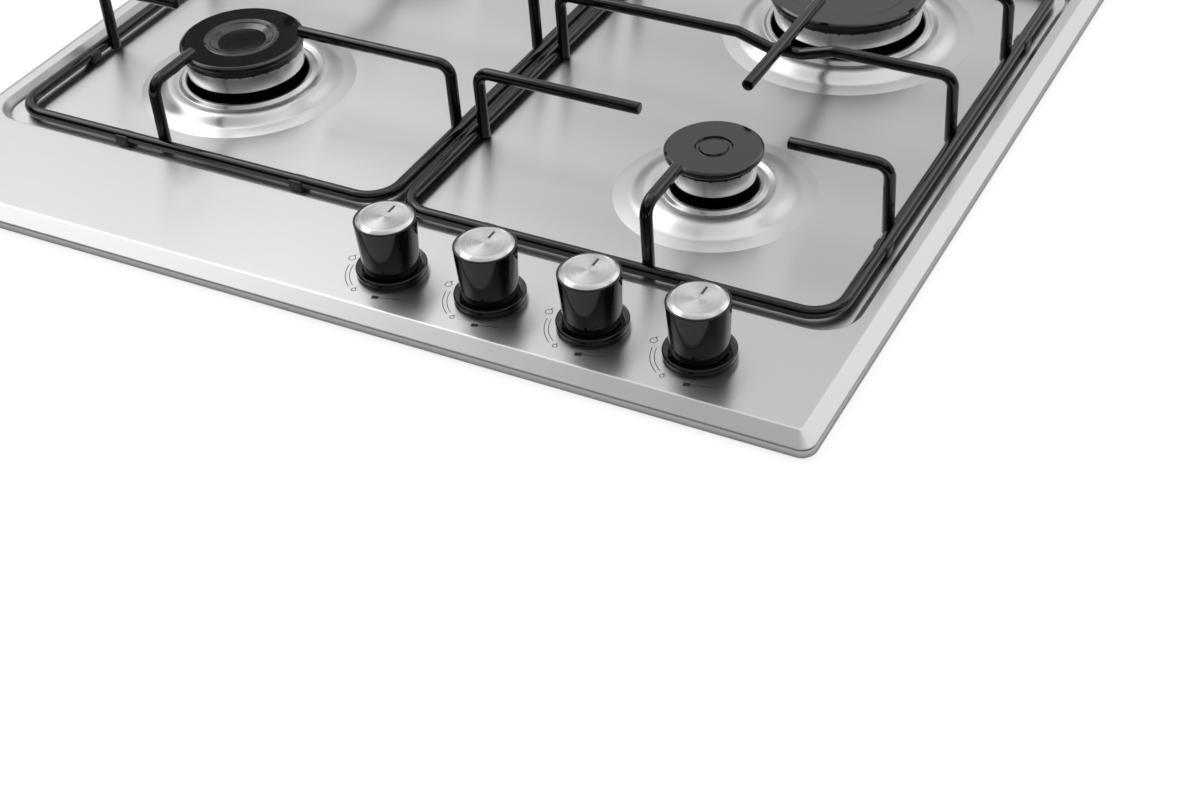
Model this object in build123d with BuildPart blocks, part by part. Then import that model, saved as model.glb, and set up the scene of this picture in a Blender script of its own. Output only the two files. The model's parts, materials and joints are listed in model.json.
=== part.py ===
from build123d import *
from math import cos, pi, radians, sin
from typing import NamedTuple
import os

# Gas cooktop: a pressed steel top over a shallow box, four burners, four valves with
# knobs along the front right, and two wire pan supports.  Millimetres, +Z up.
# The origin lies under the middle of the top, on the surface that the box stands on.

os.makedirs("parts", exist_ok=True)

# ---------- pressed top ----------
panel_width = 580.0         # left to right
panel_depth = 500.0         # front to rear
panel_corner = 8.0          # plan radius of the outer corners
panel_top = 56.0            # the flat top above the foot of the box
sheet = 1.0                 # thickness of the pressed top and of the box
rim_lip = 9.8               # drop from the flat top to the foot of the rim
rim_crease = 6.0            # drop from the flat top to the crease of the rim
rim_slope = 7.4             # plan width of the sloping band
rim_step = 1.4              # plan step from the crease to the foot
rim_top_corner = 2.0        # plan radius of the corners of the flat top

# ---------- recessed well ----------
well_front = 81.5           # rim to well, at the front
well_rear = 24.5            # rim to well, at the rear
well_side = 15.0            # rim to well, at each side
well_drop = 6.0             # depth of the well
well_wall = 4.5             # plan width of its sloping wall
well_corner = 22.0          # plan radius of its corners

# ---------- burners ----------
burner_inset = 133.5        # burner centres inside the left and right edges
burner_front = 181.0        # front burners behind the front edge
burner_rear = 124.0         # rear burners in front of the rear edge
small_ring = 23.8           # radius of the flame ring: front right
medium_ring = 35.8          # front left and rear left
large_ring = 46.2           # rear right
small_cap = 27.6            # radius of the caps
medium_cap = 37.2
large_cap = 48.6
small_dish = 10.6           # radius of the shallow dish in the caps
medium_dish = 21.5
large_dish = 38.0
small_dome = 57.0           # foot of the pressed dome round each burner
medium_dome = 65.0
large_dome = 78.0

dome_foot_band = 7.0        # plan width of the gentle slope at the foot of a dome
dome_foot_rise = 1.1        # rise of that slope above the floor of the well
dome_land = 1.5             # level ring between the dome's curve and the collar
hole_gap = 2.2              # panel hole outside the flame ring
collar_width = 4.5          # raised collar round the hole
collar_slope = 1.4
collar_land = 1.0
collar_crest = 0.6          # crest of the collar above the flat top
collar_foot_drop = 0.5      # foot of the collar below the flat top
hole_edge_drop = 0.4        # edge of the hole below the flat top

ring_rise = 6.0             # foot of the flame ring above the flat top
ring_height = 10.5          # height of the flame ring
ring_wall = 4.0
ring_taper = 0.8            # foot of the flame ring inside its top
ring_floor = 2.0
ring_skirt = 5.0            # locating skirt below the foot of the ring
skirt_wall = 2.0
port_spacing = 8.0          # flame ports round the ring
port_width = 1.2
port_depth = 0.6
cap_height = 7.6            # whole cap above the flame ring
cap_edge = 4.4              # thickness of the cap's rim
cap_dish = 1.2              # depth of the dish
cap_neck_inset = 0.6        # neck of the cap inside the flame ring
cap_foot_bevel = 1.0
cap_top_bevel = 1.8
cap_skirt = 1.8             # locating skirt below the cap
locating_fit = 0.4          # ring in cup, and cap in ring

cup_inset = 4.3             # burner cup inside the flame ring
cup_wall = 2.5
cup_floor = 3.0
cup_drop = 24.0             # foot of the cup below the flat top
cup_boss = 6.0              # radius of the boss round the gas tube
cup_boss_length = 8.0       # boss outside the cup
cup_screw_inset = 7.0       # screws inside the outside of the cup
venturi_radius = 7.0
venturi_wall = 2.0
venturi_drop = 2.0          # foot of the venturi tube below the flat top
jet_width = 3.4             # half the width across the jet's flats
jet_neck = 2.4              # radius of the jet inside the cup
jet_drop = 3.0              # top of the jet below the flat top
bracket_thick = 1.5         # steel strap that carries a cup
bracket_width = 24.0
bracket_margin = 4.0        # legs of the strap outside the cup
bracket_foot = 9.0

# ---------- ignition ----------
plug_radius = 2.2           # ceramic of the spark plug
plug_stand = 1.0            # plug past the outside of the flame ring
plug_room = 0.9             # notch in the flame ring round the plug
plug_rise = 3.0             # top of the ceramic above the foot of the flame ring
plug_tail = 2.0             # foot of the ceramic below the cup
plug_angle = 135.0          # behind each burner, to the left
plug_fit = 0.2
lug_radius = 5.0            # lug on the cup that holds the plug
lug_height = 6.0
pin_radius = 0.9
pin_gap = 1.0               # pin to cap
generator_length = 60.0
generator_width = 42.0
generator_height = 30.0
generator_corner = 3.0
generator_x = 10.0
generator_front = 35.0      # in front of the rear burners' line
terminal_rise = 15.0
terminal_row = 10.0         # terminals in front of and behind the generator's middle
terminal_radius = 3.0
terminal_length = 5.0
lead_radius = 1.3
lead_bend = 8.0
lead_run_near = 18.0        # leads out from the generator, to the rear burners
lead_run_far = 30.0         # and to the front burners

# ---------- gas supply ----------
tube_radius = 3.0           # burner tubes
tube_wall = 0.8
tube_drop = 13.5            # axis of the burner tubes below the flat top
tube_bend = 15.0
tube_depth = 6.0            # tube inside its valve and inside its burner
bypass_offset = 38.5        # rear right tube, left of the front right burner
bypass_front = 100.0        # its first turn, behind the front edge
crossing_front = 8.0        # rear left tube, in front of the line between the burners
left_offset = 66.5          # its run to the rear, right of the left burners
rail_drop = 28.0            # axis of the gas rail below the flat top
rail_height = 20.0
rail_depth = 16.0
rail_wall = 2.0
rail_corner = 1.5
rail_overhang = 18.0        # rail beyond the outer valves
rail_leg = 12.0             # width of its legs
inlet_reach = 15.2          # inlet axis right of the rail
inlet_pipe_radius = 6.0
inlet_bend = 12.0
inlet_thread_radius = 10.5  # half-inch pipe thread, plain
inlet_thread_length = 18.0
inlet_relief = 1.0          # plain neck between the box wall and the thread
inlet_relief_depth = 1.0
inlet_nut_width = 24.0
inlet_nut_length = 9.0

# ---------- valves and knobs ----------
knob_inset = 76.2           # last knob inside the right edge
knob_pitch = 59.5
knob_front = 40.5           # knob axes behind the front edge
knob_top_radius = 15.9
knob_foot_radius = 16.3
knob_height = 34.3          # top of the knob above the flat top
knob_travel = 3.0           # push travel
travel_spare = 0.4          # left below the knob and the push collar when pushed in
knob_wall = 2.2
knob_roof = 4.6
knob_edge = 0.5
knob_hub = 6.6
bezel_radius = 18.9
bezel_height = 5.4
bezel_floor = 1.2
bezel_hole = 9.5
bezel_gap = 0.4             # bezel round the knob
bezel_bevel_height = 1.6
bezel_bevel_width = 1.2
groove_rise = 2.0           # groove round the bezel
groove_height = 0.7
groove_depth = 0.5
disc_radius = 14.8
disc_bevel = 1.8
disc_seat = 1.4             # depth of the disc's seat in the knob
disc_rise = 0.9             # crown of the disc above the knob's edge
disc_fit = 0.05
spindle_radius = 4.0
spindle_fit = 0.08          # radial clearance of the turning spindle
spindle_flat = 1.4          # depth of the flat at the top of the spindle
spindle_inset = 10.0        # top of the spindle below the top of the knob
spindle_engage = 12.0       # spindle inside the valve
spindle_chamfer = 0.5
shoulder_radius = 5.4       # shoulder that rests on the push collar
shoulder_height = 2.0
bore_relief = 0.3           # knob bore above the spindle
bore_spare = 1.0            # valve bore below the spindle when pushed in
push_radius = 7.4           # push collar under the panel
push_height = 2.0
push_gap = 1.0              # panel hole round the push collar
valve_width = 22.0
valve_depth = 26.5
valve_height = 28.0
valve_lead = 11.5           # front of the valve in front of its axis
valve_corner = 2.0
valve_cover = 0.5           # valve above its tube
bonnet_radius = 8.5
bonnet_height = 2.0
nipple_radius = 3.5         # nipple from the valve into the rail
nipple_rise = 4.0           # nipple above the rail's axis
valve_screw_drop = 5.0      # valve screw below the rail's axis
valve_screw_end = 2.0       # screw past the wall of the rail
strip_height = 3.0          # switch strip on the valve bodies
strip_depth = 24.0
strip_end = 7.0             # strip beyond the outer bonnets
strip_gap = 0.5
strip_corner = 3.0

# ---------- box ----------
box_side = 22.0             # box wall inside the panel edge
box_front = 20.0
box_rear = 18.0
box_corner = 8.0
notch_room = 26.0           # open rear corner, left of the inlet's axis
notch_depth = 46.0
tab_width = 30.0            # welded tabs that the box screws into
tab_height = 12.0
tab_thick = 1.6
tab_screw_drop = 6.0        # tab screws below the top of a tab
side_tab_inset = 150.0      # side tabs inside the panel's front and rear edges
end_tab_left = 118.0        # front and rear tabs, inside the box's left and right walls
end_tab_right = 148.0
seal_width = 8.0            # foam strip under the rim
seal_thick = 1.0
gland_inset = 88.0          # right of the box's left wall
gland_drop = 28.0
gland_radius = 9.0
gland_neck = 7.0
gland_head = 3.0
gland_length = 12.0         # inside the box
gland_bore = 3.6
clamp_inset = 100.0         # clamp brackets inside the panel's front and rear edges
clamp_thick = 1.5
clamp_rise = 20.0           # foot of the bracket above the foot of the box
clamp_height = 24.0
clamp_width = 22.0
clamp_reach = 9.0
clamp_screw_rise = 16.0     # screw above the foot of the bracket

# ---------- pan supports ----------
wire = 3.5                  # radius of the wire
support_gap = 3.2           # between the two supports
bar_margin = 11.5           # wire axis inside the well's edge
bar_drop = 1.1              # loop axis below the flat top
loop_bend = 26.0
finger_height = 37.5        # finger axes above the flat top
finger_bend = 7.5
finger_reach = 44.5         # finger tips from the burner centre
leg_inset = 4.2             # leg axis inside the loop axis
leg_foot = 4.8              # foot of the legs below the flat top
bar_dip = 6.4               # dip of the cross bar under the long bar
dip_half = 30.0             # half the length of the dip
dip_flat = 10.0
foot_length = 9.0           # rubber feet
foot_width = 9.6
foot_rise = 2.4             # top of the feet above the wire's axis
foot_corner = 1.5
foot_fit = 0.05
foot_inner = 56.0           # feet on the front and rear bars, from the inner side bar
foot_outer = 80.0           # and from the outer side bar
foot_side = 69.0            # feet on the side bars, from the front and rear bars

# ---------- screws ----------
screw_radius = 2.0
screw_head = 3.8
screw_head_height = 2.4
screw_fit = 0.15
side_screw_length = 7.0
drill = 8.0                 # length of a drill through a wall
seam = 0.01                 # overlap that joins a dome to the floor of the well

# ---------- derived places ----------
front = -panel_depth / 2
half_width = panel_width / 2
under = panel_top - sheet                       # underside of the flat top
floor = panel_top - well_drop                   # floor of the well
floor_under = floor - sheet
rim_foot = panel_top - rim_lip
seal_foot = rim_foot - seal_thick
well_x = half_width - well_side
well_y0 = front + well_front
well_y1 = -front - well_rear
well_mid = (well_y0 + well_y1) / 2

box_x = half_width - box_side
box_y0 = front + box_front
box_y1 = -front - box_rear
tab_inset = sheet + screw_fit + tab_thick / 2   # middle of a tab inside the box wall
tab_screw_z = floor_under - tab_screw_drop
side_tabs = [(side, y) for side in (-1, 1) for y in (front + side_tab_inset, -front - side_tab_inset)]
end_tabs = [(x, end) for x in (end_tab_left - box_x, box_x - end_tab_right) for end in (-1, 1)]
clamp_places = [(side, y) for side in (-1, 1) for y in (front + clamp_inset, -front - clamp_inset)]
clamp_screw_z = clamp_rise + clamp_screw_rise
gland_x = gland_inset - box_x
gland_z = panel_top - gland_drop

ring_foot = panel_top + ring_rise
ring_top = ring_foot + ring_height
cup_foot = panel_top - cup_drop
tube_z = panel_top - tube_drop
hub_top = tube_z + cup_boss
burner_offset = half_width - burner_inset
front_y = front + burner_front
rear_y = -front - burner_rear
middle_y = (front_y + rear_y) / 2
plug_foot = cup_foot - plug_tail
plug_top = ring_foot + plug_rise

knob_y = front + knob_front
knob_names = ["front_left", "rear_left", "rear_right", "front_right"]
knob_x = [half_width - knob_inset - i * knob_pitch for i in reversed(range(len(knob_names)))]
knob_top = panel_top + knob_height
knob_foot = panel_top + bezel_floor + knob_travel + travel_spare
spindle_top = knob_top - spindle_inset
flat_y = knob_y + 2 * spindle_radius - spindle_flat

rail_z = panel_top - rail_drop
rail_foot = rail_z - rail_height / 2
rail_x0 = knob_x[0] - rail_overhang
rail_x1 = knob_x[-1] + rail_overhang
valve_front = knob_y - valve_lead
valve_rear = valve_front + valve_depth
valve_top = tube_z + tube_radius + valve_cover
valve_foot = valve_top - valve_height
bonnet_top = valve_top + bonnet_height
rail_y = valve_rear + rail_depth / 2
nipple_z = rail_z + nipple_rise
valve_screw_z = rail_z - valve_screw_drop
spindle_foot = bonnet_top - spindle_engage
push_foot = bonnet_top + knob_travel + travel_spare
push_top = push_foot + push_height

inlet_x = rail_x1 + inlet_reach
inlet_wall_y = box_y1 - notch_depth
notch_width = box_x - inlet_x + notch_room


def finish(block, label):
    """Names a finished piece and writes its file."""
    block.part.label = label
    export_step(block.part, f"parts/{label}.step")


def polar(x, y, radius, angle):
    """A point at an angle and distance from a centre."""
    return x + radius * cos(radians(angle)), y + radius * sin(radians(angle))


class Burner(NamedTuple):
    """One burner: its centre, its radii and the angle that its gas tube comes from."""

    name: str
    x: float
    y: float
    ring: float
    cap: float
    dish: float
    dome: float
    inlet: float

    @property
    def cup(self):
        """Outside radius of the burner cup."""
        return self.ring - cup_inset

    @property
    def plug(self):
        """Centre of the spark plug."""
        return polar(self.x, self.y, self.ring - plug_radius + plug_stand, plug_angle)

    @property
    def screws(self):
        """Centres of the two screws under the cup."""
        reach = self.cup - cup_screw_inset
        return [(self.x - reach, self.y), (self.x + reach, self.y)]

    @property
    def tube_end(self):
        """Where the gas tube ends inside the boss."""
        return polar(self.x, self.y, self.cup + cup_boss_length - tube_depth, self.inlet)


burners = [
    Burner("front_left", -burner_offset, front_y, medium_ring, medium_cap, medium_dish, medium_dome, 0),
    Burner("rear_left", -burner_offset, rear_y, medium_ring, medium_cap, medium_dish, medium_dome, 0),
    Burner("rear_right", burner_offset, rear_y, large_ring, large_cap, large_dish, large_dome, 270),
    Burner("front_right", burner_offset, front_y, small_ring, small_cap, small_dish, small_dome, 0),
]


# ---------- pressed top ----------
def rim_shape(inset, height):
    """The solid under the rim: straight lip, sloping band and flat top, inset by the sheet."""
    width, depth = panel_width - 2 * inset, panel_depth - 2 * inset
    crease = height - (rim_crease - rim_step)
    with BuildPart() as body:
        with BuildSketch(Plane.XY.offset(rim_foot)):
            RectangleRounded(width, depth, panel_corner - inset)
        extrude(amount=crease - rim_foot - rim_step)
        with BuildSketch(Plane.XY.offset(crease - rim_step)):
            RectangleRounded(width, depth, panel_corner - inset)
        with BuildSketch(Plane.XY.offset(crease)):
            RectangleRounded(width - 2 * rim_step, depth - 2 * rim_step, panel_corner - inset - rim_step)
        loft()
        with BuildSketch(Plane.XY.offset(crease)):
            RectangleRounded(width - 2 * rim_step, depth - 2 * rim_step, panel_corner - inset - rim_step)
        with BuildSketch(Plane.XY.offset(height)):
            top_inset = rim_step + rim_slope
            RectangleRounded(width - 2 * top_inset, depth - 2 * top_inset, rim_top_corner)
        loft()
    return body.part


def well_shape(grow):
    """The space of the well, grown outwards and downwards by the sheet."""
    width = 2 * well_x + 2 * grow
    depth = well_y1 - well_y0 + 2 * grow
    with BuildPart() as body:
        with BuildSketch(Plane.XY.offset(floor - grow)):
            with Locations((0, well_mid)):
                RectangleRounded(width - 2 * well_wall, depth - 2 * well_wall, well_corner - well_wall + grow)
        with BuildSketch(Plane.XY.offset(panel_top)):
            with Locations((0, well_mid)):
                RectangleRounded(width, depth, well_corner + grow)
        loft()
    return body.part


def dome_edge(burner, shift):
    """The edge of a dome's section, shifted down, from the floor of the well in to the hole."""
    hole = burner.x + burner.ring + hole_gap
    collar = hole + collar_width
    foot = burner.x + burner.dome
    level = panel_top - shift
    curve_foot = (foot - dome_foot_band, level - well_drop + dome_foot_rise)
    curve_crown = (collar + dome_land, level - collar_foot_drop)
    outer = Line((foot, level - well_drop), curve_foot)
    curve = Spline(curve_foot, curve_crown, tangents=[(-1, 0), (-1, 0)])
    inner = Polyline(
        curve_crown,
        (collar, level - collar_foot_drop),
        (collar - collar_slope, level + collar_crest),
        (hole + collar_land, level + collar_crest),
        (hole, level - hole_edge_drop),
    )
    return outer @ 0, inner @ 1


with BuildPart() as top_panel:
    add(rim_shape(0, panel_top))
    add(rim_shape(sheet, under), mode=Mode.SUBTRACT)
    # the lip is open below
    with BuildSketch(Plane.XY.offset(rim_foot)):
        RectangleRounded(panel_width - 2 * sheet, panel_depth - 2 * sheet, panel_corner - sheet)
    extrude(amount=rim_lip - rim_crease, mode=Mode.SUBTRACT)
    add(well_shape(sheet))
    add(well_shape(0), mode=Mode.SUBTRACT)
    for burner in burners:
        with BuildSketch(Plane.XY.offset(floor_under)):
            with Locations((burner.x, burner.y)):
                Circle(burner.dome - seam)
        extrude(amount=sheet, mode=Mode.SUBTRACT)
        with BuildSketch(Plane.XZ.offset(-burner.y)):
            with BuildLine():
                upper_foot, upper_edge = dome_edge(burner, 0)
                lower_foot, lower_edge = dome_edge(burner, sheet)
                Line(upper_foot, lower_foot)
                Line(upper_edge, lower_edge)
            make_face()
        revolve(axis=Axis((burner.x, burner.y, 0), (0, 0, 1)))
    with BuildSketch(Plane.XY.offset(under)):
        with Locations([(x, knob_y) for x in knob_x]):
            Circle(push_radius + push_gap)
    extrude(amount=sheet, mode=Mode.SUBTRACT)
    # welded tabs inside the box walls
    for side, y in side_tabs:
        with BuildSketch(Plane.XY.offset(floor_under - tab_height)):
            with Locations((side * (box_x - tab_inset), y)):
                Rectangle(tab_thick, tab_width)
        extrude(amount=tab_height)
        with Locations(Plane((side * (box_x - tab_inset), y, tab_screw_z), z_dir=(1, 0, 0))):
            Cylinder(screw_radius + screw_fit, drill, mode=Mode.SUBTRACT)
    for x, end in end_tabs:
        wall = box_y0 if end < 0 else box_y1
        roof = under if end < 0 or wall > well_y1 else floor_under
        with BuildSketch(Plane.XY.offset(floor_under - tab_height)):
            with Locations((x, wall - end * tab_inset)):
                Rectangle(tab_width, tab_thick)
        extrude(amount=roof - floor_under + tab_height)
        with Locations(Plane((x, wall - end * tab_inset, tab_screw_z), z_dir=(0, 1, 0))):
            Cylinder(screw_radius + screw_fit, drill, mode=Mode.SUBTRACT)
finish(top_panel, "top_panel")


# ---------- foam seal under the rim ----------
with BuildPart() as worktop_seal:
    add(rim_shape(sheet, under))
    with BuildSketch(Plane.XY.offset(seal_foot)):
        RectangleRounded(panel_width - 2 * sheet, panel_depth - 2 * sheet, panel_corner - sheet)
    extrude(amount=rim_foot - seal_foot)
    seal_inset = 2 * (sheet + seal_width)
    with BuildSketch(Plane.XY.offset(seal_foot)):
        Rectangle(panel_width, panel_depth)
        Rectangle(panel_width - seal_inset, panel_depth - seal_inset, mode=Mode.SUBTRACT)
    extrude(amount=rim_crease, mode=Mode.INTERSECT)
finish(worktop_seal, "worktop_seal")


# ---------- box ----------
def box_plan(inset):
    """Plan of the box inside its wall, with the open corner round the gas inlet."""
    with BuildSketch() as plan:
        with Locations((0, (box_y0 + box_y1) / 2)):
            Rectangle(2 * (box_x - inset), box_y1 - box_y0 - 2 * inset)
        with Locations((box_x, box_y1)):
            Rectangle(2 * (notch_width + inset), 2 * (notch_depth + inset), mode=Mode.SUBTRACT)
        fillet(plan.vertices(), box_corner - inset)
    return plan.sketch


def side_screw_places():
    """Screws through the box walls: outside face of the wall and the way they point."""
    ends = {-1: box_y0, 1: box_y1}
    places = [((side * box_x, y, tab_screw_z), (-side, 0, 0)) for side, y in side_tabs]
    return places + [((x, ends[end], tab_screw_z), (0, -end, 0)) for x, end in end_tabs]


def clamp_screw_places():
    """Screws through the clamp brackets: outside face of the bracket and the way they point."""
    wall = box_x + clamp_thick
    return [((side * wall, y, clamp_screw_z), (-side, 0, 0)) for side, y in clamp_places]


screw_places = side_screw_places() + clamp_screw_places()
gland_plane = Plane((gland_x, box_y1, gland_z), z_dir=(0, 1, 0))

with BuildPart() as under_box:
    add(box_plan(0))
    extrude(amount=under)
    with BuildPart(mode=Mode.PRIVATE) as hollow:
        add(box_plan(sheet))
        extrude(amount=under)
    add(hollow.part.moved(Location((0, 0, sheet))), mode=Mode.SUBTRACT)
    add(well_shape(sheet), mode=Mode.SUBTRACT)
    for origin, way in screw_places:
        with Locations(Plane(origin, z_dir=way)):
            Cylinder(screw_radius + screw_fit, drill, mode=Mode.SUBTRACT)
    with Locations(Plane((inlet_x, inlet_wall_y, rail_z), z_dir=(0, 1, 0))):
        Cylinder(inlet_thread_radius + screw_fit, drill, mode=Mode.SUBTRACT)
    with Locations(gland_plane):
        Cylinder(gland_neck + screw_fit, drill, mode=Mode.SUBTRACT)
finish(under_box, "under_box")

with BuildPart() as clamp_brackets:
    for side, y in clamp_places:
        with BuildSketch(Plane.XZ.offset(-y)):
            with Locations((side * (box_x + clamp_thick / 2), clamp_rise + clamp_height / 2)):
                Rectangle(clamp_thick, clamp_height)
            with Locations((side * (box_x + clamp_reach / 2), clamp_rise + clamp_thick / 2)):
                Rectangle(clamp_reach, clamp_thick)
        extrude(amount=clamp_width / 2, both=True)
        with Locations(Plane((side * box_x, y, clamp_screw_z), z_dir=(1, 0, 0))):
            Cylinder(screw_radius + screw_fit, drill, mode=Mode.SUBTRACT)
finish(clamp_brackets, "clamp_brackets")

with BuildPart() as side_screws:
    for origin, way in screw_places:
        with BuildSketch(Plane(origin, z_dir=way)):
            Circle(screw_radius)
        extrude(amount=side_screw_length)
        with BuildSketch(Plane(origin, z_dir=way)):
            Circle(screw_head)
        extrude(amount=-screw_head_height)
finish(side_screws, "side_screws")

with BuildPart() as cable_gland:
    with BuildSketch(gland_plane):
        Circle(gland_radius)
        Circle(gland_bore, mode=Mode.SUBTRACT)
    extrude(amount=gland_head)
    with BuildSketch(gland_plane):
        Circle(gland_neck)
        Circle(gland_bore, mode=Mode.SUBTRACT)
    extrude(amount=-gland_length)
finish(cable_gland, "cable_gland")


# ---------- gas rail and inlet ----------
with BuildPart() as gas_rail:
    with BuildSketch(Plane.YZ.offset(rail_x0)):
        with Locations((rail_y, rail_z)):
            RectangleRounded(rail_depth, rail_height, rail_corner)
    extrude(amount=rail_x1 - rail_x0)
    with BuildSketch(Plane.YZ.offset(rail_x0 + rail_wall)):
        with Locations((rail_y, rail_z)):
            Rectangle(rail_depth - 2 * rail_wall, rail_height - 2 * rail_wall)
    extrude(amount=rail_x1 - rail_x0 - 2 * rail_wall, mode=Mode.SUBTRACT)
    with Locations(Plane((rail_x1, rail_y, rail_z), z_dir=(1, 0, 0))):
        Cylinder(inlet_pipe_radius + screw_fit, 4 * rail_wall, mode=Mode.SUBTRACT)
    for x in knob_x:
        with Locations(Plane((x, valve_rear, nipple_z), z_dir=(0, 1, 0))):
            Cylinder(nipple_radius + screw_fit, 2 * rail_wall, mode=Mode.SUBTRACT)
        with Locations(Plane((x, valve_rear, valve_screw_z), z_dir=(0, 1, 0))):
            Cylinder(screw_radius + screw_fit, 2 * rail_wall, mode=Mode.SUBTRACT)
    with BuildSketch(Plane.XY.offset(sheet)):
        with Locations((rail_x0 + rail_leg, rail_y), (rail_x1 - rail_leg, rail_y)):
            Rectangle(rail_leg, rail_depth - 2 * rail_wall)
    extrude(amount=rail_foot - sheet + rail_wall / 2)
finish(gas_rail, "gas_rail")

with BuildPart() as inlet_pipe:
    with BuildLine():
        FilletPolyline(
            (rail_x1 - rail_wall, rail_y, rail_z),
            (inlet_x, rail_y, rail_z),
            (inlet_x, inlet_wall_y - inlet_nut_length, rail_z),
            radius=inlet_bend,
        )
    with BuildSketch(Plane((rail_x1 - rail_wall, rail_y, rail_z), z_dir=(1, 0, 0))):
        Circle(inlet_pipe_radius)
        Circle(inlet_pipe_radius - tube_wall, mode=Mode.SUBTRACT)
    sweep()
finish(inlet_pipe, "inlet_pipe")

with BuildPart() as inlet_fitting:
    # the nut bears on the inside of the wall and the thread stands out of it
    inlet_plane = Plane((inlet_x, inlet_wall_y - sheet, rail_z), z_dir=(0, 1, 0))
    with BuildSketch(inlet_plane):
        RegularPolygon(inlet_nut_width / 2, 6, major_radius=False)
    extrude(amount=sheet - inlet_nut_length)
    with BuildSketch(inlet_plane):
        Circle(inlet_thread_radius - inlet_relief_depth)
    extrude(amount=sheet + inlet_relief)
    with BuildSketch(inlet_plane.offset(sheet + inlet_relief)):
        Circle(inlet_thread_radius)
    extrude(amount=inlet_thread_length)
    inlet_length = inlet_nut_length + inlet_relief + inlet_thread_length
    with BuildSketch(inlet_plane.offset(sheet - inlet_nut_length)):
        Circle(inlet_pipe_radius - tube_wall)
    extrude(amount=inlet_length, mode=Mode.SUBTRACT)
finish(inlet_fitting, "inlet_fitting")


# ---------- valves ----------
for name, x in zip(knob_names, knob_x):
    with BuildPart() as valve:
        with BuildSketch(Plane.XY.offset(valve_foot)):
            with Locations((x, (valve_front + valve_rear) / 2)):
                RectangleRounded(valve_width, valve_depth, valve_corner)
        extrude(amount=valve_height)
        with BuildSketch(Plane.XY.offset(valve_top)):
            with Locations((x, knob_y)):
                Circle(bonnet_radius)
        extrude(amount=bonnet_height)
        with BuildSketch(Plane.XZ.offset(-valve_rear)):
            with Locations((x, nipple_z)):
                Circle(nipple_radius)
        extrude(amount=-2 * rail_wall)
        with BuildSketch(Plane.XY.offset(bonnet_top)):
            with Locations((x, knob_y)):
                Circle(spindle_radius + spindle_fit)
        extrude(amount=-(spindle_engage + knob_travel + bore_spare), mode=Mode.SUBTRACT)
        with BuildSketch(Plane.XZ.offset(-valve_rear)):
            with Locations((x, tube_z)):
                Circle(tube_radius + screw_fit)
        extrude(amount=tube_depth, mode=Mode.SUBTRACT)
        with BuildSketch(Plane.XZ.offset(-valve_front)):
            with Locations((x, valve_screw_z)):
                Circle(screw_radius + screw_fit)
        extrude(amount=-valve_depth, mode=Mode.SUBTRACT)
    finish(valve, f"valve_{name}")

with BuildPart() as valve_screws:
    for x in knob_x:
        with BuildSketch(Plane((x, valve_front, valve_screw_z), z_dir=(0, 1, 0))):
            Circle(screw_radius)
        extrude(amount=valve_depth + rail_wall + valve_screw_end)
        with BuildSketch(Plane((x, valve_front, valve_screw_z), z_dir=(0, 1, 0))):
            Circle(screw_head)
        extrude(amount=-screw_head_height)
finish(valve_screws, "valve_screws")

with BuildPart() as switch_strip:
    strip_length = knob_x[-1] - knob_x[0] + 2 * (bonnet_radius + strip_end)
    with BuildSketch(Plane.XY.offset(valve_top)):
        with Locations(((knob_x[0] + knob_x[-1]) / 2, knob_y)):
            RectangleRounded(strip_length, strip_depth, strip_corner)
        with Locations([(x, knob_y) for x in knob_x]):
            Circle(bonnet_radius + strip_gap, mode=Mode.SUBTRACT)
    extrude(amount=strip_height)
finish(switch_strip, "switch_strip")


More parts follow.
